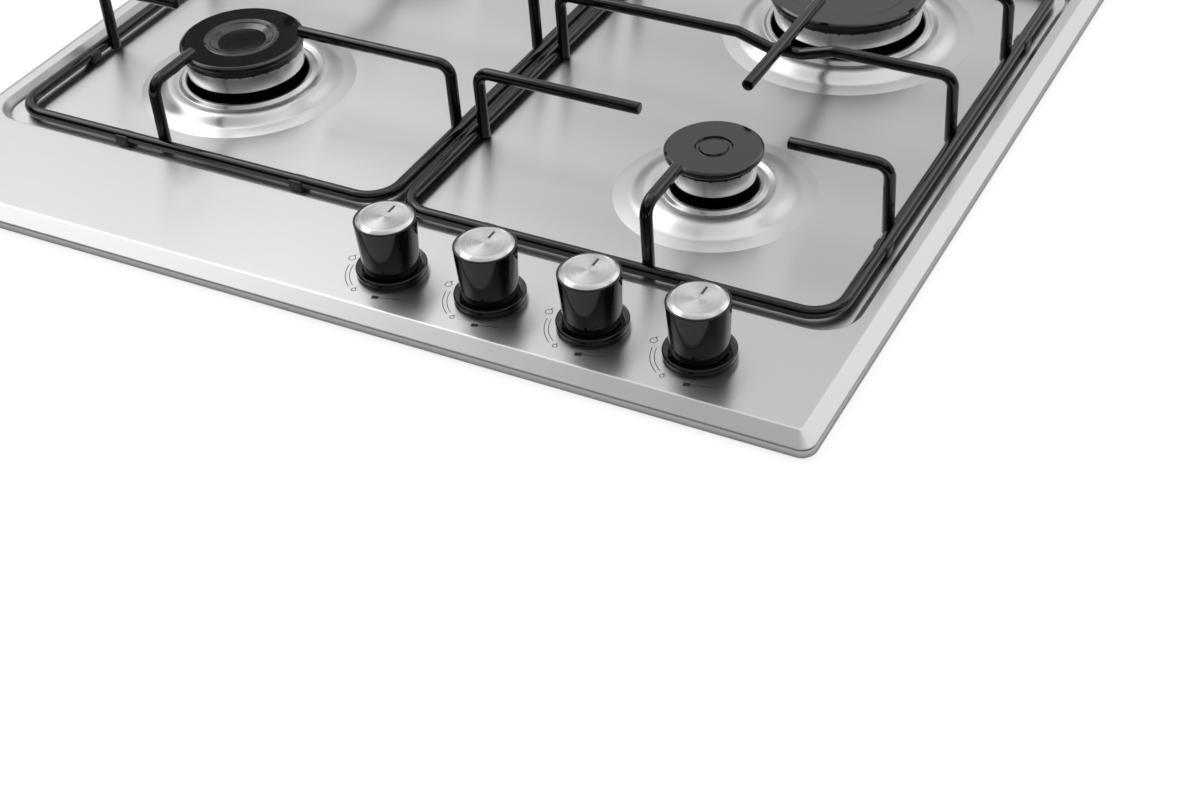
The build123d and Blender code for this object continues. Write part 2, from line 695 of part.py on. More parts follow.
# ---------- push collars, spindles, knobs ----------
for name, x in zip(knob_names, knob_x):
    with BuildPart() as push_collar:
        with BuildSketch(Plane.XY.offset(push_foot)):
            with Locations((x, knob_y)):
                Circle(push_radius)
                Circle(spindle_radius + spindle_fit, mode=Mode.SUBTRACT)
        extrude(amount=push_height)
    finish(push_collar, f"push_collar_{name}")

    with BuildPart() as spindle:
        with BuildSketch(Plane.XY.offset(spindle_foot)):
            with Locations((x, knob_y)):
                Circle(spindle_radius)
        extrude(amount=spindle_top - spindle_foot)
        with BuildSketch(Plane.XY.offset(push_top + spindle_fit)):
            with Locations((x, knob_y)):
                Circle(shoulder_radius)
        extrude(amount=shoulder_height)
        with BuildSketch(Plane.XY.offset(knob_foot)):
            with Locations((x, flat_y)):
                Rectangle(4 * spindle_radius, 2 * spindle_radius)
        extrude(amount=spindle_top - knob_foot, mode=Mode.SUBTRACT)
        chamfer(spindle.faces().sort_by(Axis.Z)[-1].edges(), spindle_chamfer)
    finish(spindle, f"spindle_{name}")

    with BuildPart() as knob:
        with BuildSketch(Plane.XZ.offset(-knob_y)):
            with BuildLine():
                Polyline(
                    (x, knob_foot),
                    (x + knob_foot_radius, knob_foot),
                    (x + knob_top_radius, knob_top),
                    (x, knob_top),
                    close=True,
                )
            make_face()
        revolve(axis=Axis((x, knob_y, 0), (0, 0, 1)))
        fillet(knob.faces().sort_by(Axis.Z)[-1].edges(), knob_edge)
        with BuildSketch(Plane.XY.offset(knob_foot)):
            with Locations((x, knob_y)):
                Circle(knob_foot_radius - knob_wall)
                Circle(knob_hub, mode=Mode.SUBTRACT)
        extrude(amount=knob_top - knob_roof - knob_foot, mode=Mode.SUBTRACT)
        with BuildSketch(Plane.XY.offset(knob_foot)):
            with Locations((x, knob_y)):
                Circle(spindle_radius + spindle_fit)
            with Locations((x, flat_y + spindle_fit)):
                Rectangle(4 * spindle_radius, 2 * spindle_radius, mode=Mode.SUBTRACT)
        extrude(amount=spindle_top + bore_relief - knob_foot, mode=Mode.SUBTRACT)
        with BuildSketch(Plane.XY.offset(knob_top - disc_seat)):
            with Locations((x, knob_y)):
                Circle(disc_radius + disc_fit)
        extrude(amount=disc_seat, mode=Mode.SUBTRACT)
    finish(knob, f"knob_{name}")

    with BuildPart() as disc:
        with BuildSketch(Plane.XZ.offset(-knob_y)):
            with BuildLine():
                Polyline(
                    (x, knob_top - disc_seat),
                    (x + disc_radius, knob_top - disc_seat),
                    (x + disc_radius, knob_top),
                    (x + disc_radius - disc_bevel, knob_top + disc_rise),
                    (x, knob_top + disc_rise),
                    close=True,
                )
            make_face()
        revolve(axis=Axis((x, knob_y, 0), (0, 0, 1)))
    finish(disc, f"knob_disc_{name}")

with BuildPart() as knob_bezels:
    for x in knob_x:
        inner = knob_foot_radius + bezel_gap
        with BuildSketch(Plane.XZ.offset(-knob_y)):
            with BuildLine():
                Polyline(
                    (x + bezel_hole, panel_top),
                    (x + bezel_radius, panel_top),
                    (x + bezel_radius, panel_top + bezel_height - bezel_bevel_height),
                    (x + bezel_radius - bezel_bevel_width, panel_top + bezel_height),
                    (x + inner, panel_top + bezel_height),
                    (x + inner, panel_top + bezel_floor),
                    (x + bezel_hole, panel_top + bezel_floor),
                    close=True,
                )
            make_face()
            with Locations((x + bezel_radius, panel_top + groove_rise)):
                Rectangle(2 * groove_depth, groove_height, mode=Mode.SUBTRACT)
        revolve(axis=Axis((x, knob_y, 0), (0, 0, 1)))
finish(knob_bezels, "knob_bezels")


# ---------- burners ----------
for burner in burners:
    x, y = burner.x, burner.y
    cup_inner = burner.cup - cup_wall
    boss_reach = burner.cup + cup_boss_length
    inlet_way = (*polar(0, 0, 1, burner.inlet), 0)
    arm = Plane((x, y, tube_z), x_dir=(0, 0, 1), z_dir=inlet_way)

    with BuildPart() as cup:
        with BuildSketch(Plane.XY.offset(cup_foot)):
            with Locations((x, y)):
                Circle(burner.cup)
        extrude(amount=ring_foot - cup_foot)
        with BuildSketch(Plane.XY.offset(tube_z - lug_height / 2)):
            with Locations(burner.plug):
                Circle(lug_radius)
        extrude(amount=lug_height)
        with BuildSketch(arm):
            Circle(cup_boss)
        extrude(amount=boss_reach)
        with BuildSketch(Plane.XY.offset(cup_foot + cup_floor)):
            with Locations((x, y)):
                Circle(cup_inner)
        extrude(amount=ring_foot - cup_foot - cup_floor, mode=Mode.SUBTRACT)
        # the hub holds the jet, and an arm brings the gas to it
        with BuildSketch(Plane.XY.offset(cup_foot)):
            with Locations((x, y)):
                Circle(venturi_radius + venturi_wall)
        extrude(amount=hub_top - cup_foot)
        with BuildSketch(arm):
            Rectangle(2 * cup_boss, 2 * cup_boss)
        extrude(amount=cup_inner + cup_wall / 2)
        with BuildSketch(arm.offset(boss_reach)):
            Circle(tube_radius + screw_fit)
        extrude(amount=-tube_depth, mode=Mode.SUBTRACT)
        with BuildSketch(arm):
            Circle(tube_radius - tube_wall)
        extrude(amount=boss_reach, mode=Mode.SUBTRACT)
        with BuildSketch(Plane.XY.offset(tube_z)):
            with Locations((x, y)):
                Circle(jet_neck + screw_fit)
        extrude(amount=cup_boss, mode=Mode.SUBTRACT)
        with BuildSketch(Plane.XY.offset(tube_z - lug_height)):
            with Locations(burner.plug):
                Circle(plug_radius + plug_fit)
        extrude(amount=2 * lug_height, mode=Mode.SUBTRACT)
        with BuildSketch(Plane.XY.offset(cup_foot)):
            with Locations(burner.screws):
                Circle(screw_radius + screw_fit)
        extrude(amount=cup_floor, mode=Mode.SUBTRACT)
    finish(cup, f"burner_cup_{burner.name}")

    with BuildPart() as flame_ring:
        skirt = cup_inner - locating_fit
        venturi_outer = venturi_radius + venturi_wall
        with BuildSketch(Plane.XZ.offset(-y)):
            with BuildLine():
                Polyline(
                    (x + venturi_radius, panel_top - venturi_drop),
                    (x + venturi_outer, panel_top - venturi_drop),
                    (x + venturi_outer, ring_foot),
                    (x + skirt - skirt_wall, ring_foot),
                    (x + skirt - skirt_wall, ring_foot - ring_skirt),
                    (x + skirt, ring_foot - ring_skirt),
                    (x + skirt, ring_foot),
                    (x + burner.ring - ring_taper, ring_foot),
                    (x + burner.ring, ring_top),
                    (x + burner.ring - ring_wall, ring_top),
                    (x + burner.ring - ring_wall, ring_foot + ring_floor),
                    (x + venturi_radius, ring_foot + ring_floor),
                    close=True,
                )
            make_face()
        revolve(axis=Axis((x, y, 0), (0, 0, 1)))
        with BuildSketch(Plane.XY.offset(ring_foot)):
            with Locations(burner.plug):
                Circle(plug_radius + plug_room)
        extrude(amount=ring_height, mode=Mode.SUBTRACT)
        ports = int(2 * pi * burner.ring / port_spacing)
        with BuildSketch(Plane.XY.offset(ring_top - port_depth)):
            with Locations((x, y)):
                with PolarLocations(burner.ring - ring_wall / 2, ports, start_angle=180 / ports):
                    Rectangle(2 * ring_wall, port_width)
        extrude(amount=port_depth, mode=Mode.SUBTRACT)
    finish(flame_ring, f"flame_ring_{burner.name}")

    with BuildPart() as burner_cap:
        inside = burner.ring - ring_wall - locating_fit
        neck = burner.ring - cap_neck_inset
        rim_z = ring_top + cap_height - cap_edge
        cap_top = ring_top + cap_height
        with BuildSketch(Plane.XZ.offset(-y)):
            with BuildLine():
                Polyline(
                    (x, ring_top),
                    (x + inside - skirt_wall, ring_top),
                    (x + inside - skirt_wall, ring_top - cap_skirt),
                    (x + inside, ring_top - cap_skirt),
                    (x + inside, ring_top),
                    (x + neck, ring_top),
                    (x + neck, rim_z),
                    (x + burner.cap - cap_foot_bevel, rim_z),
                    (x + burner.cap, rim_z + cap_foot_bevel),
                    (x + burner.cap, cap_top - cap_top_bevel),
                    (x + burner.cap - cap_top_bevel, cap_top),
                    (x + burner.dish, cap_top),
                    (x + burner.dish - cap_dish, cap_top - cap_dish),
                    (x, cap_top - cap_dish),
                    close=True,
                )
            make_face()
        revolve(axis=Axis((x, y, 0), (0, 0, 1)))
    finish(burner_cap, f"burner_cap_{burner.name}")

with BuildPart() as gas_jets:
    for burner in burners:
        with BuildSketch(Plane.XY.offset(hub_top)):
            with Locations((burner.x, burner.y)):
                RegularPolygon(jet_width, 6, major_radius=False)
        extrude(amount=panel_top - jet_drop - hub_top)
        with BuildSketch(Plane.XY.offset(hub_top)):
            with Locations((burner.x, burner.y)):
                Circle(jet_neck)
        extrude(amount=tube_radius - cup_boss)
finish(gas_jets, "gas_jets")

with BuildPart() as burner_brackets:
    for burner in burners:
        reach = burner.cup + bracket_margin
        with BuildSketch(Plane.XZ.offset(-burner.y)):
            with Locations((burner.x, cup_foot - bracket_thick / 2)):
                Rectangle(2 * reach, bracket_thick)
            for hand in (-1, 1):
                with Locations((burner.x + hand * (reach - bracket_thick / 2), (cup_foot + sheet) / 2)):
                    Rectangle(bracket_thick, cup_foot - sheet)
                with Locations((burner.x + hand * (reach + bracket_foot / 2), sheet + bracket_thick / 2)):
                    Rectangle(bracket_foot, bracket_thick)
        extrude(amount=bracket_width / 2, both=True)
        with BuildSketch(Plane.XY.offset(cup_foot - bracket_thick)):
            with Locations(burner.screws):
                Circle(screw_radius + screw_fit)
        extrude(amount=bracket_thick, mode=Mode.SUBTRACT)
finish(burner_brackets, "burner_brackets")

with BuildPart() as burner_screws:
    for burner in burners:
        with BuildSketch(Plane.XY.offset(cup_foot - bracket_thick)):
            with Locations(burner.screws):
                Circle(screw_radius)
        extrude(amount=bracket_thick + cup_floor)
        with BuildSketch(Plane.XY.offset(cup_foot - bracket_thick)):
            with Locations(burner.screws):
                Circle(screw_head)
        extrude(amount=-screw_head_height)
finish(burner_screws, "burner_screws")

with BuildPart() as spark_plugs:
    with BuildSketch(Plane.XY.offset(plug_foot)):
        with Locations([burner.plug for burner in burners]):
            Circle(plug_radius)
    extrude(amount=plug_top - plug_foot)
finish(spark_plugs, "spark_plugs")

with BuildPart() as spark_pins:
    with BuildSketch(Plane.XY.offset(plug_top)):
        with Locations([burner.plug for burner in burners]):
            Circle(pin_radius)
    extrude(amount=ring_top - pin_gap - plug_top)
finish(spark_pins, "spark_pins")


# ---------- burner tubes ----------
bypass_x = burner_offset - bypass_offset
bypass_y = front + bypass_front
crossing_y = middle_y - crossing_front
left_x = left_offset - burner_offset
turns = {
    "front_left": [(knob_x[0], front_y)],
    "rear_left": [(knob_x[1], crossing_y), (left_x, crossing_y), (left_x, rear_y)],
    "rear_right": [
        (knob_x[2], bypass_y), (bypass_x, bypass_y), (bypass_x, middle_y), (burner_offset, middle_y),
    ],
    "front_right": [(knob_x[3], front_y)],
}
for burner, x in zip(burners, knob_x):
    tube_start = (x, valve_rear - tube_depth)
    route = [tube_start, *turns[burner.name], burner.tube_end]
    with BuildPart() as tube:
        with BuildLine():
            FilletPolyline(*[(px, py, tube_z) for px, py in route], radius=tube_bend)
        with BuildSketch(Plane((*tube_start, tube_z), z_dir=(0, 1, 0))):
            Circle(tube_radius)
            Circle(tube_radius - tube_wall, mode=Mode.SUBTRACT)
        sweep()
    finish(tube, f"gas_tube_{burner.name}")


# ---------- ignition ----------
generator_y = rear_y - generator_front
terminal_z = sheet + terminal_rise
# side and row of each burner's terminal, and the lead's first run
terminals = [
    (-1, -terminal_row, lead_run_far), (-1, terminal_row, lead_run_near),
    (1, terminal_row, lead_run_near), (1, -terminal_row, lead_run_far),
]
with BuildPart() as spark_generator:
    with BuildSketch(Plane.XY.offset(sheet)):
        with Locations((generator_x, generator_y)):
            RectangleRounded(generator_length, generator_width, generator_corner)
    extrude(amount=generator_height)
    for side, row, run in terminals:
        place = (generator_x + side * generator_length / 2, generator_y + row, terminal_z)
        with BuildSketch(Plane(place, z_dir=(side, 0, 0))):
            Circle(terminal_radius)
        extrude(amount=terminal_length)
finish(spark_generator, "spark_generator")

with BuildPart() as ignition_leads:
    for burner, (side, row, run) in zip(burners, terminals):
        plug_x, plug_y = burner.plug
        lead_start = generator_x + side * (generator_length / 2 + terminal_length)
        lead_turn = lead_start + side * run
        with BuildLine() as path:
            FilletPolyline(
                (lead_start, generator_y + row, terminal_z),
                (lead_turn, generator_y + row, terminal_z),
                (lead_turn, plug_y, terminal_z),
                (plug_x, plug_y, terminal_z),
                (plug_x, plug_y, plug_foot),
                radius=lead_bend,
            )
        with BuildSketch(Plane((lead_start, generator_y + row, terminal_z), z_dir=(side, 0, 0))):
            Circle(lead_radius)
        sweep(path=path.wire())
finish(ignition_leads, "ignition_leads")


# ---------- pan supports ----------
bar_z = panel_top - bar_drop
finger_z = panel_top + finger_height
leg_z = panel_top - leg_foot
bar_inner = support_gap / 2 + wire
bar_outer = well_x - bar_margin
bar_front = well_y0 + bar_margin
bar_rear = well_y1 - bar_margin


def wire_along(points, bends):
    """Round wire swept along straight runs joined by bends."""
    with BuildPart() as piece:
        with BuildLine() as path:
            FilletPolyline(*points, radius=bends)
        with BuildSketch(Plane(path.wire() @ 0, z_dir=path.wire() % 0)):
            Circle(wire)
        sweep(path=path.wire())
    return piece.part


def finger(root, tip):
    """A leg inside the loop, bent over into a level finger."""
    return wire_along([(*root, leg_z), (*root, finger_z), (*tip, finger_z)], finger_bend)


def loop_path(hand):
    """Centre line of the rounded loop that lies in the well."""
    with BuildSketch(Plane.XY.offset(bar_z)) as plan:
        with Locations((hand * (bar_inner + bar_outer) / 2, (bar_front + bar_rear) / 2)):
            RectangleRounded(bar_outer - bar_inner, bar_rear - bar_front, loop_bend)
    return plan.sketch.face().outer_wire()


for hand, label in ((1, "right"), (-1, "left")):
    loop = loop_path(hand)
    inner_leg = hand * (bar_inner + leg_inset)
    outer_leg = hand * (bar_outer - leg_inset)
    burner_x = hand * burner_offset
    with BuildPart() as pan_support:
        with BuildSketch(Plane(loop @ 0, z_dir=loop % 0)):
            Circle(wire)
        sweep(path=loop)
        for y, end, bar_y in ((front_y, -1, bar_front), (rear_y, 1, bar_rear)):
            add(finger((inner_leg, y), (burner_x - hand * finger_reach, y)))
            add(finger((outer_leg, y), (burner_x + hand * finger_reach, y)))
            add(finger((burner_x, bar_y - end * leg_inset), (burner_x, y + end * finger_reach)))
        # the cross bar dips under the long bar, which lies on it
        add(wire_along(
            [
                (inner_leg, middle_y, leg_z),
                (inner_leg, middle_y, finger_z),
                (burner_x - hand * dip_half, middle_y, finger_z),
                (burner_x - hand * dip_flat, middle_y, finger_z - bar_dip),
                (burner_x + hand * dip_flat, middle_y, finger_z - bar_dip),
                (burner_x + hand * dip_half, middle_y, finger_z),
                (outer_leg, middle_y, finger_z),
                (outer_leg, middle_y, leg_z),
            ],
            finger_bend,
        ))
        with BuildSketch(Plane.XZ.offset(-(front_y + finger_reach))):
            with Locations((burner_x, finger_z)):
                Circle(wire)
        extrude(amount=-(rear_y - front_y - 2 * finger_reach))
    finish(pan_support, f"pan_support_{label}")

    foot_z = (floor + bar_z + foot_rise) / 2
    foot_height = bar_z + foot_rise - floor
    end_feet = [
        (hand * x, bar_y)
        for x in (bar_inner + foot_inner, bar_outer - foot_outer)
        for bar_y in (bar_front, bar_rear)
    ]
    side_feet = [(hand * bar_outer, bar_front + foot_side), (hand * bar_outer, bar_rear - foot_side)]
    with BuildPart() as feet:
        with Locations([(x, y, foot_z) for x, y in end_feet]):
            Box(foot_length, foot_width, foot_height)
        with Locations([(x, y, foot_z) for x, y in side_feet]):
            Box(foot_width, foot_length, foot_height)
        fillet(feet.edges().filter_by(Axis.Z), foot_corner)
        for x, y in end_feet:
            with Locations(Plane((x, y, bar_z), z_dir=(1, 0, 0))):
                Cylinder(wire + foot_fit, 2 * foot_length, mode=Mode.SUBTRACT)
        for x, y in side_feet:
            with Locations(Plane((x, y, bar_z), z_dir=(0, 1, 0))):
                Cylinder(wire + foot_fit, 2 * foot_length, mode=Mode.SUBTRACT)
    finish(feet, f"support_feet_{label}")
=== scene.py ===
"""Gas cooktop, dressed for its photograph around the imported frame.

Everything is in metres in the frame of the model: +X to the right along the front
edge, +Y from the front edge to the rear, +Z up, and the origin on the surface that
the box stands on.  Sizes in the classes below are in millimetres.
"""

import json
import logging
import math
from dataclasses import dataclass, field
from enum import Enum
from typing import Iterable, Sequence

import bmesh
import bpy
from mathutils import Matrix, Quaternion, Vector


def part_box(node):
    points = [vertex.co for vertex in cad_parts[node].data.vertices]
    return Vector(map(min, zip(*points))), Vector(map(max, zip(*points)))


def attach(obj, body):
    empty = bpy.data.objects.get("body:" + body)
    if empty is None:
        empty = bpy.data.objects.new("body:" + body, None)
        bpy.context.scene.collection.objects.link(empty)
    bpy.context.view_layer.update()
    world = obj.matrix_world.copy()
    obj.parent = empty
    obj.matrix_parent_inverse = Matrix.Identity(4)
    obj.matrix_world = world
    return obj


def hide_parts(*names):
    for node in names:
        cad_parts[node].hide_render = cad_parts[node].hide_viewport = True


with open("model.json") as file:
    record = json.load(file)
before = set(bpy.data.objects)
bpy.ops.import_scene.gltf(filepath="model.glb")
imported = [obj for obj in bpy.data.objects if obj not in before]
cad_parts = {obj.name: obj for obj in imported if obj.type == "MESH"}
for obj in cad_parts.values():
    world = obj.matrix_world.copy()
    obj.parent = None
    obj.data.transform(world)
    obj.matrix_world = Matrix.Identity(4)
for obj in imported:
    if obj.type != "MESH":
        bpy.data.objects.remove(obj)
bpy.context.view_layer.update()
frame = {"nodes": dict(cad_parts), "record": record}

LOG = logging.getLogger("cooktop")
MM = 0.001
UP = Vector((0.0, 0.0, 1.0))
# a face whose normal rises by more than this is level, and is shaded flat
LEVEL = 0.99999
Colour = tuple[float, float, float, float]
# points of an open outline: two coordinates in millimetres and the radius of the corner there
Outline = Sequence[tuple[float, float, float]]


class Place(Enum):
    """The four burners, each with its knob."""

    FRONT_LEFT = "front_left"
    REAR_LEFT = "rear_left"
    REAR_RIGHT = "rear_right"
    FRONT_RIGHT = "front_right"


class Hand(Enum):
    """The two pan supports; the value is the side of the middle that each lies on."""

    RIGHT = 1
    LEFT = -1


def grey(value: float) -> Colour:
    """A neutral linear colour."""
    return (value, value, value, 1.0)


def node_middle(node: str) -> Vector:
    """The middle of a CAD node's box, in millimetres."""
    low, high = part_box(node)
    return (low + high) / 2 / MM


def node_size(node: str) -> Vector:
    """The size of a CAD node's box, in millimetres."""
    low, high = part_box(node)
    return (high - low) / MM


def show(name: str, data: bpy.types.ID) -> bpy.types.Object:
    """Makes an object of a mesh, a camera or a lamp, and puts it in the scene.

    Args:
        name: the object's name.
        data: what the object shows.

    Returns:
        The new object, at the origin.
    """
    made = bpy.data.objects.new(name, data)
    bpy.context.scene.collection.objects.link(made)
    return made


# ---------- shaders ----------
class Shader:
    """A material's node tree, with short ways to add nodes and join them."""

    def __init__(self, name: str, tree: bpy.types.NodeTree | None = None) -> None:
        """Starts a tree.

        Args:
            name: the material's name.
            tree: an existing tree to fill, such as the world's; a new material if None.
        """
        self.material = None
        if tree is None:
            self.material = bpy.data.materials.new(name)
            self.material.use_nodes = True
            tree = self.material.node_tree
        self.tree = tree
        self.tree.nodes.clear()

    def add(self, kind: str, inputs: dict | None = None, **settings: object) -> bpy.types.Node:
        """Adds a node.

        Args:
            kind: the node's type without its ShaderNode prefix.
            inputs: socket values, or the sockets that feed them, by name or number.
            settings: the node's own settings.

        Returns:
            The new node.
        """
        node = self.tree.nodes.new("ShaderNode" + kind)
        for key, value in settings.items():
            setattr(node, key, value)
        for key, value in (inputs or {}).items():
            if isinstance(value, bpy.types.NodeSocket):
                self.tree.links.new(value, node.inputs[key])
            else:
                node.inputs[key].default_value = value
        return node

    def place(
        self, centre: Vector | None = None, scale: Sequence[float] = (1, 1, 1),
    ) -> bpy.types.NodeSocket:
        """Object coordinates.

        Args:
            centre: the point that they are measured from, in millimetres.
            scale: what each of them is multiplied by.

        Returns:
            The socket that holds them.
        """
        coordinates = self.add("TexCoord").outputs["Object"]
        if centre is None and tuple(scale) == (1, 1, 1):
            return coordinates
        if centre is not None:
            inputs = {"Vector": coordinates, "Location": tuple(-centre * MM)}
            coordinates = self.add("Mapping", inputs).outputs["Vector"]
        if tuple(scale) != (1, 1, 1):
            inputs = {"Vector": coordinates, "Scale": tuple(scale)}
            coordinates = self.add("Mapping", inputs).outputs["Vector"]
        return coordinates

    def noise(
        self, vector: bpy.types.NodeSocket, scale: float, detail: float = 3.0,
    ) -> bpy.types.NodeSocket:
        """A noise pattern's value, from 0 to 1."""
        inputs = {"Vector": vector, "Scale": scale, "Detail": detail}
        return self.add("TexNoise", inputs).outputs["Fac"]

    def spread(
        self,
        value: bpy.types.NodeSocket,
        low: float,
        high: float,
        start: float = 0.3,
        end: float = 0.7,
        smooth: bool = False,
    ) -> bpy.types.NodeSocket:
        """Maps one range of a value onto another, and holds it there outside.

        Args:
            value: the value.
            low: the result at the start of the range.
            high: the result at its end.
            start: the value that the range starts at.
            end: the value that it ends at.
            smooth: eases the result in and out.

        Returns:
            The socket of the result.
        """
        inputs = {"Value": value, "From Min": start, "From Max": end, "To Min": low, "To Max": high}
        kind = "SMOOTHSTEP" if smooth else "LINEAR"
        return self.add("MapRange", inputs, interpolation_type=kind).outputs["Result"]

    def sum(self, first: object, second: object, operation: str = "ADD") -> bpy.types.NodeSocket:
        """The sum, or another operation, of two values or sockets."""
        return self.add("Math", {0: first, 1: second}, operation=operation).outputs["Value"]

    def blend(self, factor: object, first: object, second: object) -> bpy.types.NodeSocket:
        """A colour between two colours."""
        return self.add("Mix", {0: factor, 6: first, 7: second}, data_type="RGBA").outputs[2]

    def between(self, factor: object, first: object, second: object) -> bpy.types.NodeSocket:
        """A value between two values."""
        return self.add("Mix", {0: factor, 2: first, 3: second}, data_type="FLOAT").outputs[0]

    def seen_directly(self) -> bpy.types.NodeSocket:
        """One for the camera's own rays and for rays through something clear, zero for others."""
        rays = self.add("LightPath").outputs
        return self.sum(rays["Is Camera Ray"], rays["Is Transmission Ray"], "MAXIMUM")

    def bump(
        self, height: bpy.types.NodeSocket, distance_mm: float, strength: float = 1.0,
    ) -> bpy.types.NodeSocket:
        """A bumped normal from a height pattern."""
        inputs = {"Height": height, "Distance": distance_mm * MM, "Strength": strength}
        return self.add("Bump", inputs).outputs["Normal"]

    def principled(self, inputs: dict) -> bpy.types.Material:
        """Closes the tree with a principled surface.

        Args:
            inputs: the surface's socket values, or the sockets that feed them, by name.

        Returns:
            The finished material.
        """
        surface = self.add("BsdfPrincipled", inputs)
        self.add("OutputMaterial", {"Surface": surface.outputs["BSDF"]})
        return self.material


@dataclass(frozen=True)
class BrushedSteel:
    """Stainless sheet brushed from side to side, which blurs reflections to front and rear."""

    name: str = "brushed_steel"
    dark: float = 0.57
    light: float = 0.59
    smooth: float = 0.28
    rough: float = 0.295
    stretch: float = 0.86
    grain_along: float = 22.0
    grain_across: float = 1500.0
    grain_depth_mm: float = 0.0002
    cloud: float = 9.0
    cloud_share: float = 0.2

    def build(self) -> bpy.types.Material:
        """Makes the finish.

        Returns:
            The new material.
        """
        shader = Shader(self.name)
        streaks = shader.place(scale=(self.grain_along, self.grain_across, self.grain_across))
        fine = shader.noise(streaks, 1.0, 5.0)
        cloudy = shader.noise(shader.place(), self.cloud, 2.0)
        tone = shader.spread(shader.sum(
            shader.sum(fine, 1.0 - self.cloud_share, "MULTIPLY"),
            shader.sum(cloudy, self.cloud_share, "MULTIPLY"),
        ), 0.0, 1.0)
        return shader.principled({
            "Base Color": shader.blend(tone, grey(self.dark), grey(self.light)),
            "Metallic": 1.0,
            "Roughness": shader.spread(fine, self.smooth, self.rough),
            "Anisotropic": self.stretch,
            "Tangent": shader.add("CombineXYZ", {"X": 0.0, "Y": 1.0, "Z": 0.0}).outputs["Vector"],
            "Normal": shader.bump(fine, self.grain_depth_mm, strength=0.1),
        })


@dataclass(frozen=True)
class SpunMetal:
    """Metal turned or spun about an upright axis: fine rings, and a painted reflection of lighter
    and darker wedges that fan out round the axis.
    """

    name: str
    centre: tuple[float, float, float]
    dark: float = 0.74
    light: float = 0.86
    smooth: float = 0.20
    rough: float = 0.30
    stretch: float = 0.8
    rings_per_mm: float = 3.0
    painted_fans: int = 3
    painted_fan_depth: float = 0.0
    ring_depth_mm: float = 0.0015

    def build(self) -> bpy.types.Material:
        """Makes the finish.

        Returns:
            The new material.
        """
        shader = Shader(self.name)
        place = shader.place(Vector(self.centre))
        flat = shader.add(
            "VectorMath", {0: place, 1: (1.0, 1.0, 0.0)}, operation="MULTIPLY",
        ).outputs["Vector"]
        radius = shader.add("VectorMath", {0: flat}, operation="LENGTH").outputs["Value"]
        outward = shader.add("VectorMath", {0: flat}, operation="NORMALIZE").outputs["Vector"]
        across = shader.add(
            "VectorMath", {0: outward, 1: (0.0, 0.0, 1.0)}, operation="ADD",
        ).outputs["Vector"]
        tangent = shader.add(
            "VectorTransform", {"Vector": across}, vector_type="VECTOR",
            convert_from="OBJECT", convert_to="WORLD",
        ).outputs["Vector"]
        parts = shader.add("SeparateXYZ", {"Vector": place}).outputs
        rings = shader.add("CombineXYZ", {
            "X": shader.sum(radius, self.rings_per_mm / MM, "MULTIPLY"),
            "Y": shader.sum(parts["Z"], self.rings_per_mm / MM, "MULTIPLY"),
        }).outputs["Vector"]
        fine = shader.noise(rings, 1.0, 4.0)
        # painted reflection: lighter and darker wedges round the axis, added to the tone of the
        # base colour
        angle = shader.sum(parts["Y"], parts["X"], "ARCTAN2")
        turns = shader.sum(angle, float(self.painted_fans), "MULTIPLY")
        wave = shader.sum(turns, 0.0, "SINE")
        painted_fan = shader.spread(wave, -self.painted_fan_depth, self.painted_fan_depth, -1.0, 1.0)
        tone = shader.sum(shader.spread(fine, 0.0, 1.0), painted_fan)
        return shader.principled({
            "Base Color": shader.blend(tone, grey(self.dark), grey(self.light)),
            "Metallic": 1.0,
            "Roughness": shader.spread(fine, self.smooth, self.rough),
            "Anisotropic": self.stretch,
            "Tangent": tangent,
            "Normal": shader.bump(fine, self.ring_depth_mm, strength=0.4),
        })


@dataclass(frozen=True)
class GlossCoat:
    """A hard glossy coat, as fired enamel or moulded gloss plastic has, with a faint waviness."""

    name: str
    colour: Colour = (0.012, 0.012, 0.012, 1.0)
    smooth: float = 0.10
    rough: float = 0.20
    index: float = 1.5
    wave_mm: float = 3.0
    wave_depth_mm: float = 0.02
    dust: float = 900.0
    dust_gain: float = 1.35
    dust_least: float = 0.002

    def build(self) -> bpy.types.Material:
        """Makes the finish.

        Returns:
            The new material.
        """
        shader = Shader(self.name)
        place = shader.place()
        wave = shader.noise(place, 1.0 / (self.wave_mm * MM), 2.0)
        dust = shader.noise(place, self.dust)
        dusty = (self.dust_gain * c + self.dust_least for c in self.colour[:3])
        lighter = tuple(min(1.0, c) for c in dusty) + (1.0,)
        return shader.principled({
            "Base Color": shader.blend(shader.spread(dust, 0.0, 1.0), self.colour, lighter),
            "Roughness": shader.spread(dust, self.smooth, self.rough),
            "IOR": self.index,
            "Normal": shader.bump(wave, self.wave_depth_mm, strength=0.6),
        })


@dataclass(frozen=True)
class GrainedMetal:
    """Plain metal with a fine even grain: castings, zinc-coated sheet, drawn tube, screws."""

    name: str
    colour: Colour
    smooth: float = 0.35
    rough: float = 0.55
    grain: float = 900.0
    blotch: float = 45.0
    depth_mm: float = 0.02
    shade: float = 0.8

    def build(self) -> bpy.types.Material:
        """Makes the finish.

        Returns:
            The new material.
        """
        shader = Shader(self.name)
        place = shader.place()
        grain = shader.noise(place, self.grain, 4.0)
        blotch = shader.noise(place, self.blotch)
        darker = tuple(c * self.shade for c in self.colour[:3]) + (1.0,)
        return shader.principled({
            "Base Color": shader.blend(shader.spread(blotch, 0.0, 1.0), darker, self.colour),
            "Metallic": 1.0,
            "Roughness": shader.spread(grain, self.smooth, self.rough),
            "Normal": shader.bump(grain, self.depth_mm, strength=0.5),
        })


